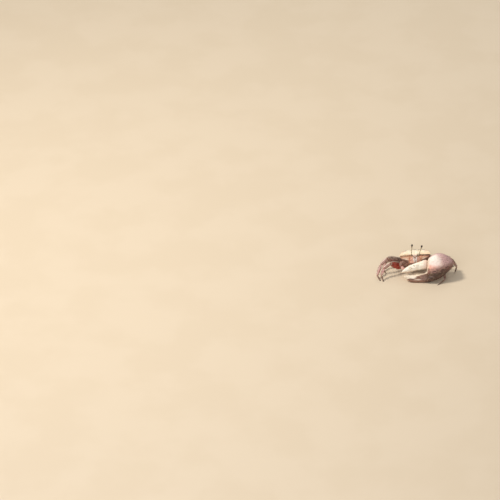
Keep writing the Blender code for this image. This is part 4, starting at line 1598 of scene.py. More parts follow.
@dataclass
class BigClaw:
    """The big claw: arm, wrist, palm with its fixed finger, and the moving finger."""

    # The palm's rows are crowded where its end drops from the finger's hinge to the fixed finger
    palm_rows: Course = Course(
        (0.0, -25.35), (0.05, -24.8), (0.44, -3.4), (0.48, -1.9), (0.60, -0.5), (0.64, 0.6),
        (0.97, 20.9), (1.0, 21.6),
    )
    # Each place p with its lower edge, upper edge, half thickness and outward shift
    palm_sizes: Course = Course(
        (-25.3, 0.0, 2.4, 1.1, -0.4), (-24.5, -1.5, 4.3, 2.1, -0.1), (-22.8, -3.3, 6.8, 3.2, 0.2),
        (-20.5, -5.4, 9.0, 4.3, 0.5), (-17.6, -8.1, 11.0, 5.1, 0.6), (-14.0, -10.8, 12.2, 5.6, 0.8),
        (-10.2, -12.6, 12.1, 5.7, 1.0), (-6.8, -13.8, 10.8, 5.6, 0.9), (-3.8, -14.6, 8.8, 5.2, 0.7),
        (-2.1, -15.0, 7.4, 4.8, 0.6), (-1.3, -15.1, 5.0, 4.4, 0.4), (-0.9, -15.2, 0.3, 4.0, 0.3),
        (-0.5, -15.3, -4.8, 3.6, 0.15), (0.5, -15.4, -6.0, 3.3, 0.1), (2.6, -15.6, -7.4, 2.9, 0.0),
        (7.5, -15.8, -8.4, 2.3, 0.0), (12.0, -15.8, -8.7, 2.0, 0.0), (14.6, -15.3, -8.8, 1.85, 0.0),
        (16.8, -13.8, -8.9, 1.65, 0.0), (19.3, -11.8, -9.0, 1.25, 0.0), (21.6, -10.3, -9.1, 0.5, 0.0),
    )
    finger_sizes: Course = Course(
        (-1.6, -1.9, 5.3, 2.6, 0.4), (1.2, -2.6, 5.9, 3.4, 0.4), (5.0, -3.0, 4.7, 2.9, 0.3),
        (9.5, -3.8, 3.2, 2.4, 0.1), (14.0, -5.0, 1.5, 2.0, 0.0), (18.0, -5.9, -0.6, 1.65, 0.0),
        (21.2, -6.4, -2.9, 1.2, 0.0), (23.5, -6.6, -5.2, 0.5, 0.0),
    )
    # The wrist's sizes are read by the distance back from the hinge
    wrist_sizes: Course = Course(
        (14.4, 6.2, 10.2, 1.2, -7.6), (16.4, 3.0, 10.9, 2.6, -8.0), (19.5, 0.6, 10.0, 3.2, -7.6),
        (22.4, -0.4, 8.0, 3.1, -7.0), (24.8, 0.2, 5.8, 2.3, -6.2), (26.1, 1.8, 3.9, 1.1, -5.8),
    )

    arm_ends: tuple[Vector, Vector] = (Vector((9.0, -1.1, 9.2)), Vector((24.9, -1.7, 16.1)))
    arm_sizes: Course = Course(
        (0.0, 1.6, 1.5), (0.12, 2.2, 2.0), (0.3, 2.5, 2.2), (0.65, 3.4, 2.6), (0.9, 3.5, 2.7),
        (1.0, 2.8, 2.2),
    )

    def ring(self, sizes: Course, at: float, turn: float, grow: float, power: float) -> tuple[float, float]:
        """A point (q, r) of a claw part's ring at a place, drawn in to a share for a round end."""
        low, high, thick, shift = sizes.at(at)
        c, s = oval(turn, thick * grow, (high - low) / 2.0 * grow, power)
        return (low + high) / 2.0 + s, shift + c

    def palm_point(self, u: float, v: float) -> Placed:
        """A point of the palm or the fixed finger."""
        p = self.palm_rows.at(v)[0]
        first = min(1.0, max(0.0, (p + 25.35) / 1.6))
        last = min(1.0, max(0.0, (21.6 - p) / 1.8))
        grow = (1.0 - (1.0 - first) ** 2) ** 0.5 * (1.0 - (1.0 - last) ** 2) ** 0.5
        power = 2.25 - 0.35 * smooth(-2.0, 6.0, p)
        q, r = self.ring(self.palm_sizes, p, ROUND * u, grow, power)
        return claw_point(p, q, r), Vector((p, q, cos(ROUND * u) * grow))

    def palm_relief(self, point: Vector, place: Vector) -> float:
        """Grains on the rim, the ridge from hinge to finger, the hollow below it and the keels."""
        p, q, face = place
        low, high, _thick, _shift = self.palm_sizes.at(p)
        out = smooth(-0.1, 0.5, face)
        share = (q - low) / (high - low)
        palm = smooth(0.5, -3.0, p)
        coarse = smooth(0.85, 0.30, face) * palm
        rise = (0.02 + 0.12 * coarse) * (0.35 + 0.65 * out) * pebbles(point, 0.95, 1.0)
        rise += 0.05 * coarse * pebbles(point, 0.5, 4.0)
        rise += 0.22 * noise.noise(point * 0.16) * palm
        rise += 0.42 * out * hump(path_distance(p, q, RIDGE), 0.0, 0.65)
        rise -= 0.45 * out * hump(path_distance(p, q, HOLLOW), 0.0, 1.3)
        keel = hump(share, 0.0, 0.02) + hump(share, 1.0, 0.012) * smooth(-2.5, -5.0, p)
        rise += 0.16 * keel * (0.85 + 0.15 * cos(ROUND * p / 0.85))
        rise -= 0.20 * out * hump(share, 0.42, 0.07) * smooth(8.0, 11.0, p) * smooth(20.0, 17.0, p)
        rise -= 0.28 * hump(p, -2.6, 0.30) * smooth(-4.5, -2.0, q) * out
        return rise

    def palm(self) -> None:
        """Model and dress the palm, the fixed finger with its teeth, and the hinge's two knobs."""
        bm = skin(220, 240, self.palm_point)
        emboss(bm, self.palm_relief)
        for q, r in ((4.4, 2.9), (-1.7, 3.0)):
            bead(bm, claw_point(-1.0, q, r), CLAW_TURN, (0.62, 0.50, 0.42), Vector((-1.0, q, 1.0)))
        self.teeth(bm, self.palm_sizes, 1.0, (9.2, 16.4), 2.2, 20.6)
        finish = PalmShell("big_claw_chitin", grain=0.55, height=0.05, roughness=0.40)
        deliver(bm, "big_claw_palm_shell", finish, "claw_palm", "big_claw_palm")

    def teeth(
        self, bm: Bm, sizes: Course, up: float, tall: tuple[float, ...], start: float, end: float
    ) -> None:
        """A row of blunt teeth along the gaping edge of a finger.

        Args:
            bm: the finger's skin.
            sizes: the finger's course.
            up: 1 where the teeth point up and -1 where they point down.
            tall: where the row's larger teeth stand.
            start: where the row starts along p.
            end: where it ends.
        """
        draw = Random(int(end * 10.0))
        p = start
        while p < end:
            low, high, thick, shift = sizes.at(p)
            edge = high if up > 0.0 else low
            size = draw.uniform(0.24, 0.34) * (1.0 - 0.35 * smooth(12.0, 22.0, p))
            size += 0.50 * max(hump(p, place, 0.55) for place in tall)
            q, r = edge - up * 0.10 * size, shift + draw.uniform(-0.16, 0.16) * thick
            halves = (size * 1.2, size * 1.1, size * 1.15)
            bead(bm, claw_point(p, q, r), CLAW_TURN, halves, Vector((p, q, 0.5)))
            p += size * 1.75

    def finger_point(self, u: float, v: float) -> Placed:
        """A point of the moving finger."""
        t, grow = rounded(v, 0.045, 0.055)
        p = -2.3 + 25.9 * t
        power = 2.15 - 0.30 * smooth(2.0, 12.0, p)
        q, r = self.ring(self.finger_sizes, p, ROUND * u, grow, power)
        return claw_point(p, q, r), Vector((p, q, cos(ROUND * u) * grow))

    def finger_relief(self, point: Vector, place: Vector) -> float:
        """A knuckle groove, two long furrows and a low grainy upper keel."""
        p, q, face = place
        low, high, _thick, _shift = self.finger_sizes.at(p)
        out = smooth(-0.1, 0.5, face)
        share = (q - low) / (high - low)
        fade = smooth(1.0, 3.5, p) * smooth(22.0, 16.0, p)
        rise = -0.24 * hump(p, 1.5, 0.40) * (0.4 + 0.6 * out)
        rise -= 0.22 * out * fade * (hump(share, 0.66, 0.055) + 0.8 * hump(share, 0.26, 0.05))
        keel = hump(share, 1.0, 0.02) * smooth(11.0, 6.0, p)
        rise += 0.12 * keel * (0.85 + 0.15 * cos(ROUND * p / 0.8))
        rise += 0.06 * smooth(9.0, 2.0, p) * pebbles(point, 0.75, 2.0)
        rise += 0.10 * noise.noise(point * 0.35)
        return rise

    def finger(self) -> None:
        """Model and dress the moving finger with its teeth."""
        bm = skin(140, 150, self.finger_point)
        emboss(bm, self.finger_relief)
        self.teeth(bm, self.finger_sizes, -1.0, (7.0, 13.6), 1.6, 22.0)
        finish = FingerShell("claw_finger_chitin", grain=0.5, height=0.012, roughness=0.34, mud=0.12)
        deliver(bm, "big_claw_finger_shell", finish, "claw_finger", "big_claw_finger")

    def hinge(self) -> None:
        """Model and dress the soft skin between the palm's end and the moving finger."""

        def surface(u: float, v: float) -> Placed:
            """A point of the pleated skin."""
            t, grow = rounded(v, 0.2, 0.2)
            c, s = oval(ROUND * u, 2.7 * grow, 4.3 * grow, 2.2)
            pleat = 0.12 * cos(t * 6.0 * pi)
            place = Vector((-1.4 + 1.9 * t, 1.5 + s * (1.0 + pleat * 0.2), 0.3 + c * (1.0 + pleat)))
            return claw_point(*place), place

        deliver(skin(48, 40, surface), "big_claw_hinge_skin", JointSkin(), "claw_finger")

    def wrist(self) -> None:
        """Model and dress the wrist behind the palm's upper corner, with a knobbed crest."""

        def surface(u: float, v: float) -> Placed:
            """A point of the wrist, from the palm backwards."""
            t, grow = rounded(v, 0.10, 0.10)
            at = 14.3 + 11.9 * t
            q, r = self.ring(self.wrist_sizes, at, ROUND * u, grow, 2.3)
            return claw_point(-at, q, r), Vector((-at, q, r))

        def relief(point: Vector, place: Vector) -> float:
            """Grains, the crest's knobs and a furrow below it."""
            low, high, _thick, _shift = self.wrist_sizes.at(-place.x)
            share = (place.y - low) / (high - low)
            rise = 0.12 * pebbles(point, 0.9, 6.0) + 0.25 * noise.noise(point * 0.25)
            rise += 0.14 * hump(share, 0.97, 0.02) * (0.85 + 0.15 * cos(ROUND * place.x / 1.1))
            return rise - 0.30 * hump(share, 0.62, 0.09) * smooth(-25.0, -22.0, place.x)

        bm = skin(110, 80, surface)
        emboss(bm, relief)
        finish = ClawWristShell("claw_wrist_chitin", grain=0.6, height=0.06)
        deliver(bm, "big_claw_wrist_shell", finish, "claw_wrist", "big_claw_wrist")

    def arm(self) -> None:
        """Model and dress the three-edged arm, its hip and the soft skins at its two ends."""
        start, end = self.arm_ends
        arm = Segment(start, end, Vector((0.0, 1.0, 0.0)), self.arm_sizes, power=1.8, keel=0.22)
        finish = LimbShell("claw_arm_chitin", part=Limb.CLAW_ARM, seed=3.0, grain=0.5)
        deliver(arm.mould(64, 90), "big_claw_arm_shell", finish, "claw_arm", "big_claw_arm")
        near = JointBall(end + Vector((1.2, -0.6, 0.2)), 2.5)
        far = JointBall(HINGE + Vector((17.2, 0.0, 0.0)) + 6.2 * CLAW_UP - 3.4 * CLAW_OUT, 2.7)
        joint_skins("big_claw_arm_skins", "claw_arm", near, far)
        deliver(claw_hip(Side.LEFT, start, end, 1.45), "big_claw_hip", finish, "claw_arm")

    def build(self) -> None:
        """Model and dress the whole claw."""
        self.palm()
        self.finger()
        self.hinge()
        self.wrist()
        self.arm()


# Limbs


@dataclass
class JointBall(Moulding):
    """A small puckered ball of soft skin that fills a joint."""

    centre: Vector
    radius: float

    def surface(self, u: float, v: float) -> Placed:
        """A point of the ball."""
        turn, lift = ROUND * u, pi * (v - 0.5)
        across = cos(lift) * (1.0 + 0.03 * cos(9.0 * lift))
        spot = Vector((across * cos(turn), across * sin(turn), sin(lift))) * self.radius
        return SHIFT + self.centre + spot, spot


def joint_skins(name: str, slot: str, *balls: JointBall) -> None:
    """Deliver a limb's joint skins as one piece."""
    deliver(join(*(ball.mould(20, 18) for ball in balls)), name, JointSkin(), slot)


@dataclass
class Segment(Moulding):
    """One shell segment of a limb between two joints.

    The sizes are half its height and half its thickness by the share of its length. A keel
    raises its upper edge and saw_step is the spacing of the keel's fine teeth.
    """

    start: Vector
    end: Vector
    normal: Vector
    sizes: Course
    power: float = 2.2
    keel: float = 0.10
    saw_step: float = 0.75
    furrow: float = 0.10
    flutes: float = 0.0
    bow: float = 0.0
    caps: tuple[float, float] = (0.06, 0.05)

    def __post_init__(self) -> None:
        """Settle the segment's own axes: along, up and towards the front."""
        self.length = (self.end - self.start).length
        self.along = (self.end - self.start).normalized()
        self.up = self.normal.cross(self.along).normalized()
        if self.up.z < 0.0:
            self.up = -self.up
        self.front = self.along.cross(self.up).normalized()
        if self.front.y > 0.0:
            self.front = -self.front

    def at(self, turn: float, t: float, grow: float = 1.0) -> Placed:
        """A point of the smooth segment.

        Args:
            turn: the angle round it.
            t: the share of its length.
            grow: the share of its full girth, for a round end.

        Returns:
            The point and its place: share along, height and front.
        """
        high, thick = self.sizes.at(t)
        c, s = oval(turn, 1.0, 1.0, self.power)
        lift = s * high * grow + self.bow * sin(pi * t)
        spot = self.start.lerp(self.end, t) + self.front * (c * thick * grow) + self.up * lift
        return SHIFT + spot, Vector((t, s, c))

    def surface(self, u: float, v: float) -> Placed:
        """A point of the segment with its round ends."""
        t, grow = rounded(v, *self.caps)
        return self.at(ROUND * u, t, grow)

    def relief(self, point: Vector, place: Vector) -> float:
        """The saw-edged keel, the long furrows, the end collar and fine grains."""
        t, up, _front = place
        fade = smooth(0.04, 0.16, t) * smooth(0.99, 0.88, t)
        saw = 0.85 + 0.15 * cos(ROUND * t * self.length / self.saw_step)
        rise = self.keel * smooth(0.92, 1.0, up) * saw * fade
        rise += 0.6 * self.keel * smooth(-0.92, -1.0, up) * saw * fade
        rise -= self.furrow * (hump(up, 0.30, 0.16) + 0.7 * hump(up, -0.42, 0.14)) * fade
        rise += 0.08 * hump(t, 0.955, 0.022) * self.sizes.at(t)[1]
        if self.flutes:
            flutes = hump(up, 0.0, 0.22) + hump(up, 0.72, 0.12) + hump(up, -0.72, 0.12)
            rise -= self.flutes * flutes * fade
        rise += 0.035 * pebbles(point, 0.55, 8.0) * (0.4 + 0.6 * abs(up))
        return rise + 0.05 * noise.noise(point * 0.9)


def claw_hip(side: Side, joint: Vector, towards: Vector, size: float) -> Bm:
    """The two short rings between the body's lower front and a claw's arm.

    Args:
        side: which claw's they are.
        joint: where the arm starts.
        towards: where the arm ends.
        size: the rings' girth.

    Returns:
        Their skin.
    """
    root = TRUNK.point(side.value * 5.6, 4.4, -9.8) - SHIFT
    rows = ((0.0, 1.35, 1.3), (0.45, 1.6, 1.5), (0.56, 1.15, 1.1), (0.66, 1.35, 1.3), (1.0, 1.2, 1.15))
    sizes = Course(*((t, high * size, thick * size) for t, high, thick in rows))
    end, normal = joint.lerp(towards, 0.10), Vector((1.0, 0.0, 0.0))
    return Segment(root, end, normal, sizes, keel=0.04, furrow=0.0, caps=(0.1, 0.1)).mould(36, 40)


@dataclass
class Fringe:
    """Rows of stiff bristles on a limb, each a thin solid cone, with a bake map of patches."""

    number: int
    bm: Bm = field(init=False)
    draw: Random = field(init=False)
    columns: int = 10
    rows: int = 5
    patch: float = 0.003

    def __post_init__(self) -> None:
        """Start the fringe's mesh with its place and its bake map."""
        self.bm = bmesh.new()
        self.bm.verts.layers.float_vector.new(PLACE)
        self.bm.loops.layers.uv.new(BAKE_MAP)
        self.draw = Random(40 + self.number)

    def row(
        self, segment: Segment, cell: int, turn: float, start: float, end: float, step: float, long: float
    ) -> None:
        """Plant one row of bristles along a segment.

        Args:
            segment: what they grow on.
            cell: the segment's number on the limb.
            turn: the row's angle round the segment.
            start: the share of the length where it starts.
            end: the share where it ends.
            step: the distance between bristles in millimetres.
            long: a bristle's length in millimetres.
        """
        count = max(2, int((end - start) * segment.length / step))
        for index in range(count):
            t = start + (end - start) * (index + self.draw.uniform(0.2, 0.8)) / count
            angle = turn + self.draw.uniform(-0.16, 0.16)
            root, _place = segment.at(angle, t)
            inner = SHIFT + segment.start.lerp(segment.end, t) + segment.up * segment.bow * sin(pi * t)
            out = (root - inner).normalized()
            lean = self.draw.uniform(0.55, 1.05)
            sway = segment.front * self.draw.uniform(-0.25, 0.25)
            self.plant(root, (out + segment.along * lean + sway).normalized(), long, (cell, angle, t))

    def plant(self, root: Vector, aim: Vector, long: float, spot: tuple[int, float, float]) -> None:
        """Add one bristle and its patch of the bake map, unless its tip would pass the model's box.

        Args:
            root: where it grows.
            aim: which way it points.
            long: its length.
            spot: the segment's number, the angle round it and the share along it.
        """
        long *= self.draw.uniform(0.65, 1.15)
        tip = (root + aim * long) * MM
        if not all(low < value < high for low, value, high in zip(CAD_BOX[0], tip, CAD_BOX[1])):
            return
        thick = 0.035 + 0.018 * long
        middle = root + aim * (long / 2.0 - 0.08)
        shape = Matrix.Translation(middle) @ axes(aim, Vector((0.3, 0.5, 0.8))).to_4x4()
        made = bmesh.ops.create_cone(
            self.bm, cap_ends=True, segments=4, radius1=thick, radius2=0.004, depth=long, matrix=shape
        )
        place = self.bm.verts.layers.float_vector[PLACE]
        for vert in made["verts"]:
            vert[place] = Vector((max(0.0, (vert.co - root).dot(aim)) / long, 0.0, 0.0))
        self.map_patch({face for vert in made["verts"] for face in vert.link_faces}, spot)

    def map_patch(self, faces: set[bmesh.types.BMFace], spot: tuple[int, float, float]) -> None:
        """Give a bristle's faces one small patch at its root's place on the limb's unwrap.

        Args:
            faces: the faces.
            spot: the segment's number, the angle round it and the share along it.
        """
        cell, angle, t = spot
        u = (self.number % self.columns + (angle / (ROUND)) % 1.0) / self.columns
        v = (cell + t) / self.rows
        layer = self.bm.loops.layers.uv[BAKE_MAP]
        for face in faces:
            for number, loop in enumerate(face.loops):
                turn = ROUND * number / len(face.loops)
                offset = (cos(turn) * self.patch / 2.0, sin(turn) * self.patch / 2.0)
                loop[layer].uv = (u + offset[0], v + offset[1])

    def deliver(self, name: str, slot: str) -> None:
        """Dress the fringe."""
        deliver(self.bm, name, Bristle(), slot)


@dataclass
class WalkingLeg:
    """One walking leg: hip, thigh, wrist, shin and toe, their joint skins and their bristles."""

    side: Side
    number: int
    size: float
    joints: tuple[Vector, ...]
    foot_sink: float = 0.12
    thigh: Rows = (
        (0.0, 0.8, 0.75), (0.05, 1.3, 1.0), (0.2, 1.8, 1.15), (0.42, 3.1, 1.35), (0.75, 2.75, 1.3),
        (0.94, 1.85, 1.2), (1.0, 1.5, 1.05),
    )
    wrist: Rows = (
        (0.0, 0.85, 0.75), (0.1, 1.15, 0.95), (0.4, 1.5, 1.1), (0.85, 1.45, 1.05), (1.0, 1.15, 0.9),
    )
    shin: Rows = (
        (0.0, 0.7, 0.65), (0.06, 1.0, 0.85), (0.3, 1.3, 0.95), (0.9, 0.95, 0.8), (1.0, 0.62, 0.58),
    )
    toe: Rows = (
        (0.0, 0.44, 0.42), (0.08, 0.68, 0.62), (0.5, 0.60, 0.50), (0.85, 0.38, 0.34), (1.0, 0.24, 0.24),
    )
    hip_rings: Rows = (
        (0.0, 1.7, 1.6), (0.35, 2.1, 1.9), (0.58, 1.95, 1.75), (0.64, 1.6, 1.45), (0.72, 1.75, 1.5),
        (1.0, 1.2, 1.0),
    )

    @property
    def name(self) -> str:
        """The leg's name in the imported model."""
        return f"leg_{self.side.word}_{self.number}"

    @property
    def normal(self) -> Vector:
        """The line that the leg's joints bend about."""
        hip, knee, _wrist, _ankle, foot = self.joints
        return (knee - hip).cross(foot - knee).normalized()

    def scaled(self, rows: Rows) -> Course:
        """A profile at this leg's size."""
        return Course(*((t, high * self.size, thick * self.size) for t, high, thick in rows))

    def segment(self, number: int, rows: Rows, back: float, **shape) -> Segment:
        """The segment after a joint.

        Args:
            number: the joint's number.
            rows: the segment's profile.
            back: how far it is drawn back from both joints, as a share of the leg's size.
            shape: the segment's other settings.

        Returns:
            The segment.
        """
        start, end = self.joints[number], self.joints[number + 1]
        along = (end - start).normalized()
        start = start + along * (back * self.size if number else 0.0)
        end = end - along * (back * self.size if number < 3 else 0.0)
        return Segment(start, end, self.normal, self.scaled(rows), **shape)

    def segments(self) -> dict[str, Segment]:
        """The four segments from the body outwards."""
        tip = {"flutes": 0.08, "caps": (0.05, 0.03)}
        return {
            "thigh": self.segment(0, self.thigh, 0.20, power=1.75, keel=0.20, furrow=0.14),
            "wrist": self.segment(1, self.wrist, 0.24, power=2.1, keel=0.12, furrow=0.16),
            "shin": self.segment(2, self.shin, 0.22, power=2.1, keel=0.12, furrow=0.14),
            "toe": self.segment(3, self.toe, 0.12, power=2.0, keel=0.0, furrow=0.0, **tip),
        }

    def hip(self) -> None:
        """Model and dress the two short rings between the body and the thigh."""
        joint = self.joints[0]
        local = BODY_TURN.inverted() @ (joint - Vector((0.0, 0.0, FRONT_HEIGHT)))
        root = TRUNK.point(local.x * 0.62, local.y, max(local.z + 1.6, -9.4)) - SHIFT
        end = joint.lerp(self.joints[1], 0.10)
        sizes = self.scaled(self.hip_rings)
        shape = Segment(root, end, self.normal, sizes, keel=0.06, furrow=0.0, caps=(0.1, 0.1))
        finish = LimbShell("hip_chitin", part=Limb.HIP, seed=2.0)
        deliver(shape.mould(36, 44), f"{self.name}_hip", finish, "underside")

    def finishes(self) -> dict[str, tuple[LimbShell, str]]:
        """Each segment's finish and material slot."""
        seed = self.number + (4.0 if self.side is Side.LEFT else 0.0)
        red = self.number == 1
        # The left legs take the shaded shin and toe colours: painted shade.
        shin, toe = (Limb.LEFT_SHIN, Limb.LEFT_TOE) if self.side is Side.LEFT else (Limb.SHIN, Limb.TOE)
        thigh = LimbShell("thigh_chitin", part=Limb.RED_THIGH if red else Limb.THIGH, seed=seed, grain=0.5)
        return {
            "thigh": (thigh, "leg_thighs"),
            "wrist": (LimbShell("leg_wrist_chitin", part=Limb.WRIST, seed=seed, grain=0.45), "leg_wrists"),
            "shin": (LimbShell("shin_chitin", part=shin, seed=seed, grain=0.4, height=0.04), "leg_shins"),
            "toe": (LimbShell("toe_chitin", part=toe, seed=seed, grain=0.3, height=0.02), "leg_toes"),
        }

    def fringe(self, segments: dict[str, Segment]) -> None:
        """Grow bristles on the edges of the thigh, wrist and shin and all round the toe.

        Args:
            segments: the leg's segments by name.
        """
        fringe = Fringe(self.number - 1 + (4 if self.side is Side.LEFT else 0))
        up, down = pi / 2.0, -pi / 2.0
        long = 1.1 * self.size
        fringe.row(segments["thigh"], 0, down, 0.18, 0.92, 0.70, long * 0.8)
        fringe.row(segments["thigh"], 0, up, 0.35, 0.95, 0.95, long * 0.55)
        fringe.row(segments["wrist"], 1, up, 0.15, 0.95, 0.55, long * 0.7)
        for turn in (up, down):
            fringe.row(segments["shin"], 2, turn, 0.08, 0.96, 0.40, long)
            fringe.row(segments["shin"], 2, turn + 0.45, 0.15, 0.95, 0.7, long * 0.8)
        for step in range(4):
            fringe.row(segments["toe"], 3, up + step * pi / 2.0, 0.05, 0.72, 0.36, long * 0.62)
        fringe.deliver(f"{self.name}_bristles", "leg_shins")

    def build(self) -> None:
        """Model and dress the leg."""
        self.hip()
        segments, finishes = self.segments(), self.finishes()
        for word, segment in segments.items():
            finish, slot = finishes[word]
            bm = segment.mould(40, 72)
            deliver(bm, f"{self.name}_{word}_shell", finish, slot, f"{self.name}_{word}")
        radii = (0.95, 0.78, 0.56, 0.40)
        balls = [JointBall(joint, radius * self.size) for joint, radius in zip(self.joints, radii)]
        joint_skins(f"{self.name}_skins", "leg_wrists", *balls)
        self.fringe(segments)


@dataclass
class SmallClaw:
    """The small feeding claw, hanging bent beside the mouth."""

    joints: tuple[Vector, ...] = (
        Vector((-7.0, -2.4, 9.4)),
        Vector((-13.2, -4.9, 13.8)),
        Vector((-13.4, -8.2, 11.4)),
        Vector((-5.6, -9.6, 3.8)),
    )
    normal: Vector = field(default_factory=lambda: Vector((0.3, -1.0, 0.2)).normalized())
    arm: Course = Course((0.0, 1.0, 0.9), (0.3, 1.6, 1.2), (0.8, 2.0, 1.4), (1.0, 1.4, 1.1))
    wrist: Course = Course((0.0, 0.9, 0.85), (0.2, 1.2, 1.1), (0.7, 1.6, 1.2), (1.0, 1.0, 0.9))
    hand: Course = Course(
        (0.0, 0.8, 0.7), (0.25, 1.38, 0.98), (0.45, 1.25, 0.9), (0.56, 0.58, 0.62), (0.9, 0.34, 0.42),
        (1.0, 0.22, 0.38),
    )
    finger: Course = Course((0.0, 0.45, 0.45), (0.3, 0.5, 0.5), (0.85, 0.36, 0.42), (1.0, 0.22, 0.36))

    def part(self, number: int, sizes: Course, back: float = 0.3, **shape) -> Segment:
        """The segment after a joint.

        Args:
            number: the joint's number.
            sizes: the segment's profile.
            back: how far it is drawn back from the joints.
            shape: the segment's other settings.

        Returns:
            The segment.
        """
        start, end = self.joints[number], self.joints[number + 1]
        along = (end - start).normalized()
        end = end - along * (back if number < 2 else 0.0)
        return Segment(start + along * back, end, self.normal, sizes, **shape)

    def finger_part(self) -> Segment:
        """The moving finger beside the hand's fixed one."""
        wrist, tip = self.joints[2], self.joints[3]
        aside = self.normal.cross((tip - wrist).normalized()).normalized()
        base, end = wrist.lerp(tip, 0.53) + aside * 1.15, tip + aside * 1.0
        return Segment(base, end, self.normal, self.finger, keel=0.02, furrow=0.04, bow=0.18)

    def build(self) -> None:
        """Model and dress the small claw."""
        dark = LimbShell("small_arm_chitin", part=Limb.SMALL_ARM, seed=5.0, grain=0.45)
        pale = LimbShell("small_claw_chitin", part=Limb.SMALL_HAND, seed=6.0, grain=0.35, height=0.03)
        arm, wrist = self.part(0, self.arm), self.part(1, self.wrist)
        hand, finger = self.part(2, self.hand, keel=0.05, furrow=0.06), self.finger_part()
        rows = (("arm", arm, dark), ("wrist", wrist, dark), ("hand", hand, pale), ("finger", finger, pale))
        for word, segment, finish in rows:
            bm = segment.mould(40, 64)
            deliver(bm, f"small_claw_{word}_shell", finish, "small_claw", f"small_claw_{word}")
        hip = claw_hip(Side.RIGHT, self.joints[0], self.joints[1], 1.0)
        deliver(hip, "small_claw_hip", dark, "small_claw")
        balls = [JointBall(joint, radius) for joint, radius in zip(self.joints, (1.2, 1.0, 0.85))]
        joint_skins("small_claw_skins", "small_claw", *balls)
        fringe = Fringe(8)
        for turn in (pi / 2.0, -pi / 2.0, 0.0):
            fringe.row(hand, 3, turn, 0.62, 0.97, 0.35, 0.7)
            fringe.row(finger, 4, turn, 0.3, 0.97, 0.35, 0.6)
            fringe.row(arm, 0, turn, 0.3, 0.95, 0.8, 0.7)
        fringe.deliver("small_claw_bristles", "small_claw")


# Each leg's size, its hip, knee, wrist and ankle, and its foot's x and y, from the front backwards
RIGHT_LEGS = (
    (1.15, (-10.0, 0.4, 5.0), (-23.4, -5.2, 12.6), (-29.4, -9.0, 9.6), (-32.0, -14.0, 5.0), (-30.0, -17.8)),
    (1.1, (-11.2, 5.2, 7.6), (-26.3, 0.3, 15.0), (-32.4, -3.0, 9.7), (-36.0, -12.4, 3.6), (-32.7, -16.6)),
    (0.88, (-10.7, 9.3, 6.4), (-23.0, 8.2, 9.4), (-28.0, 6.6, 6.8), (-30.6, 0.6, 3.0), (-27.4, -3.6)),
    (0.68, (-9.0, 13.6, 5.2), (-17.6, 14.8, 4.9), (-21.8, 15.6, 3.8), (-26.6, 14.0, 2.2), (-30.2, 11.2)),
)
LEFT_LEGS = (
    (0.86, (9.6, 3.4, 6.4), (22.4, -0.6, 7.6), (27.8, -6.6, 5.6), (28.6, -18.0, 2.4), (21.2, -24.4)),
    (1.0, (11.3, 6.8, 7.0), (27.3, 3.6, 15.9), (34.2, 2.0, 13.9), (40.0, 0.4, 5.4), (38.2, -0.9)),
    (0.88, (10.7, 10.6, 6.3), (24.6, 12.2, 10.8), (30.2, 12.4, 8.0), (35.6, 11.0, 3.5), (36.6, 8.2)),
    (0.68, (9.0, 14.2, 5.3), (17.8, 17.2, 6.6), (22.2, 18.6, 5.4), (27.4, 18.8, 2.8), (30.0, 16.8)),
)


def walking_legs() -> list[WalkingLeg]:
    """Lay out the walking legs.

    Returns:
        All eight, the right side first.
    """
    legs = []
    for side, rows in ((Side.RIGHT, RIGHT_LEGS), (Side.LEFT, LEFT_LEGS)):
        for number, (size, *points, foot) in enumerate(rows, 1):
            joints = (*map(Vector, points), Vector((*foot, -WalkingLeg.foot_sink)))
            legs.append(WalkingLeg(side, number, size, joints))
    return legs


# Studio


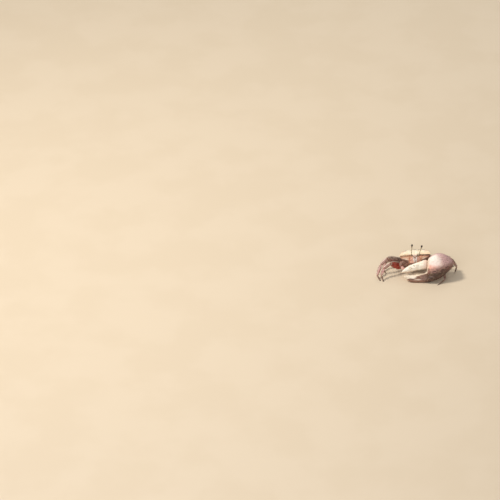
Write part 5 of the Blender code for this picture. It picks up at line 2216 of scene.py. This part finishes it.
@dataclass
class Studio:
    """A pale paper floor, soft lights and a camera that frames the crab as the photograph does."""

    elevation: float = radians(32.0)
    distance: float = 3.0
    crab_middle: Vector = field(default_factory=lambda: Vector((0.0, -2.0, 12.0)) * MM)
    # The photograph spans 478 mm at the crab, and its centre lies left of the crab and above it
    frame_width: float = 0.478
    aim_right: float = -0.1596
    aim_up: float = 0.0131
    floor_half: float = 4.0

    def camera(self) -> None:
        """Place the camera at the photograph's viewing angle."""
        data = bpy.data.cameras.new("camera")
        data.lens = data.sensor_width / self.frame_width * self.distance
        data.clip_start, data.clip_end = 0.05, 50.0
        camera = put("camera", data)
        away = Vector((0.0, -cos(self.elevation), sin(self.elevation)))
        rise = Vector((0.0, sin(self.elevation), cos(self.elevation)))
        camera.location = self.crab_middle + away * self.distance
        aim = Vector((self.aim_right, 0.0, 0.0)) + rise * self.aim_up - away * self.distance
        right = aim.cross(rise).normalized()
        up = right.cross(aim).normalized()
        camera.rotation_euler = Matrix((right, up, -aim.normalized())).transposed().to_euler()
        bpy.context.scene.camera = camera

    def floor(self) -> None:
        """Lay the paper floor just under the crab's feet."""
        bm = bmesh.new()
        bmesh.ops.create_grid(bm, x_segments=2, y_segments=2, size=self.floor_half)
        floor = dressed(bm, "paper_floor", StudioPaper())

    def light(self, name: str, place: Vector, size: float, power: float, tint: str) -> None:
        """Hang one square soft light that faces the crab.

        Args:
            name: the light's name.
            place: where it hangs, in metres.
            size: how wide it is.
            power: how strong it is, in watts.
            tint: its colour.
        """
        data = bpy.data.lights.new(name, "AREA")
        data.size, data.energy, data.color = size, power, paint(tint)[:3]
        lamp = put(name, data)
        lamp.location = place
        lamp.rotation_euler = (self.crab_middle - place).to_track_quat("-Z", "Y").to_euler()

    def world(self) -> None:
        """Fill the shadows with an even pale glow."""
        world = bpy.data.worlds.new("studio_glow")
        world.use_nodes = True
        glow = world.node_tree.nodes["Background"]
        glow.inputs["Color"].default_value = paint("#F2EFEA")
        glow.inputs["Strength"].default_value = 0.46
        bpy.context.scene.world = world

    def build(self) -> None:
        """Set up the camera, floor and lights."""
        bpy.context.scene.view_settings.view_transform = "Standard"
        self.camera()
        self.floor()
        self.world()
        self.light("key_light", Vector((-0.68, 0.04, 1.06)), 0.24, 11.0, "#FFF5E8")
        self.light("front_light", Vector((-0.36, -1.05, 0.52)), 0.6, 3.8, "#FAF8FC")
        self.light("back_light", Vector((0.3, 0.9, 0.8)), 0.6, 2.0, "#FFFFFF")


def main() -> None:
    """Build the studio and then the crab, part by part."""
    logging.basicConfig(level=logging.INFO, format="%(message)s")
    for assembly in (Studio(), Body(), BigClaw(), SmallClaw(), *walking_legs()):
        log.info("building %s", type(assembly).__name__)
        assembly.build()


if __name__ == "__main__":
    main()
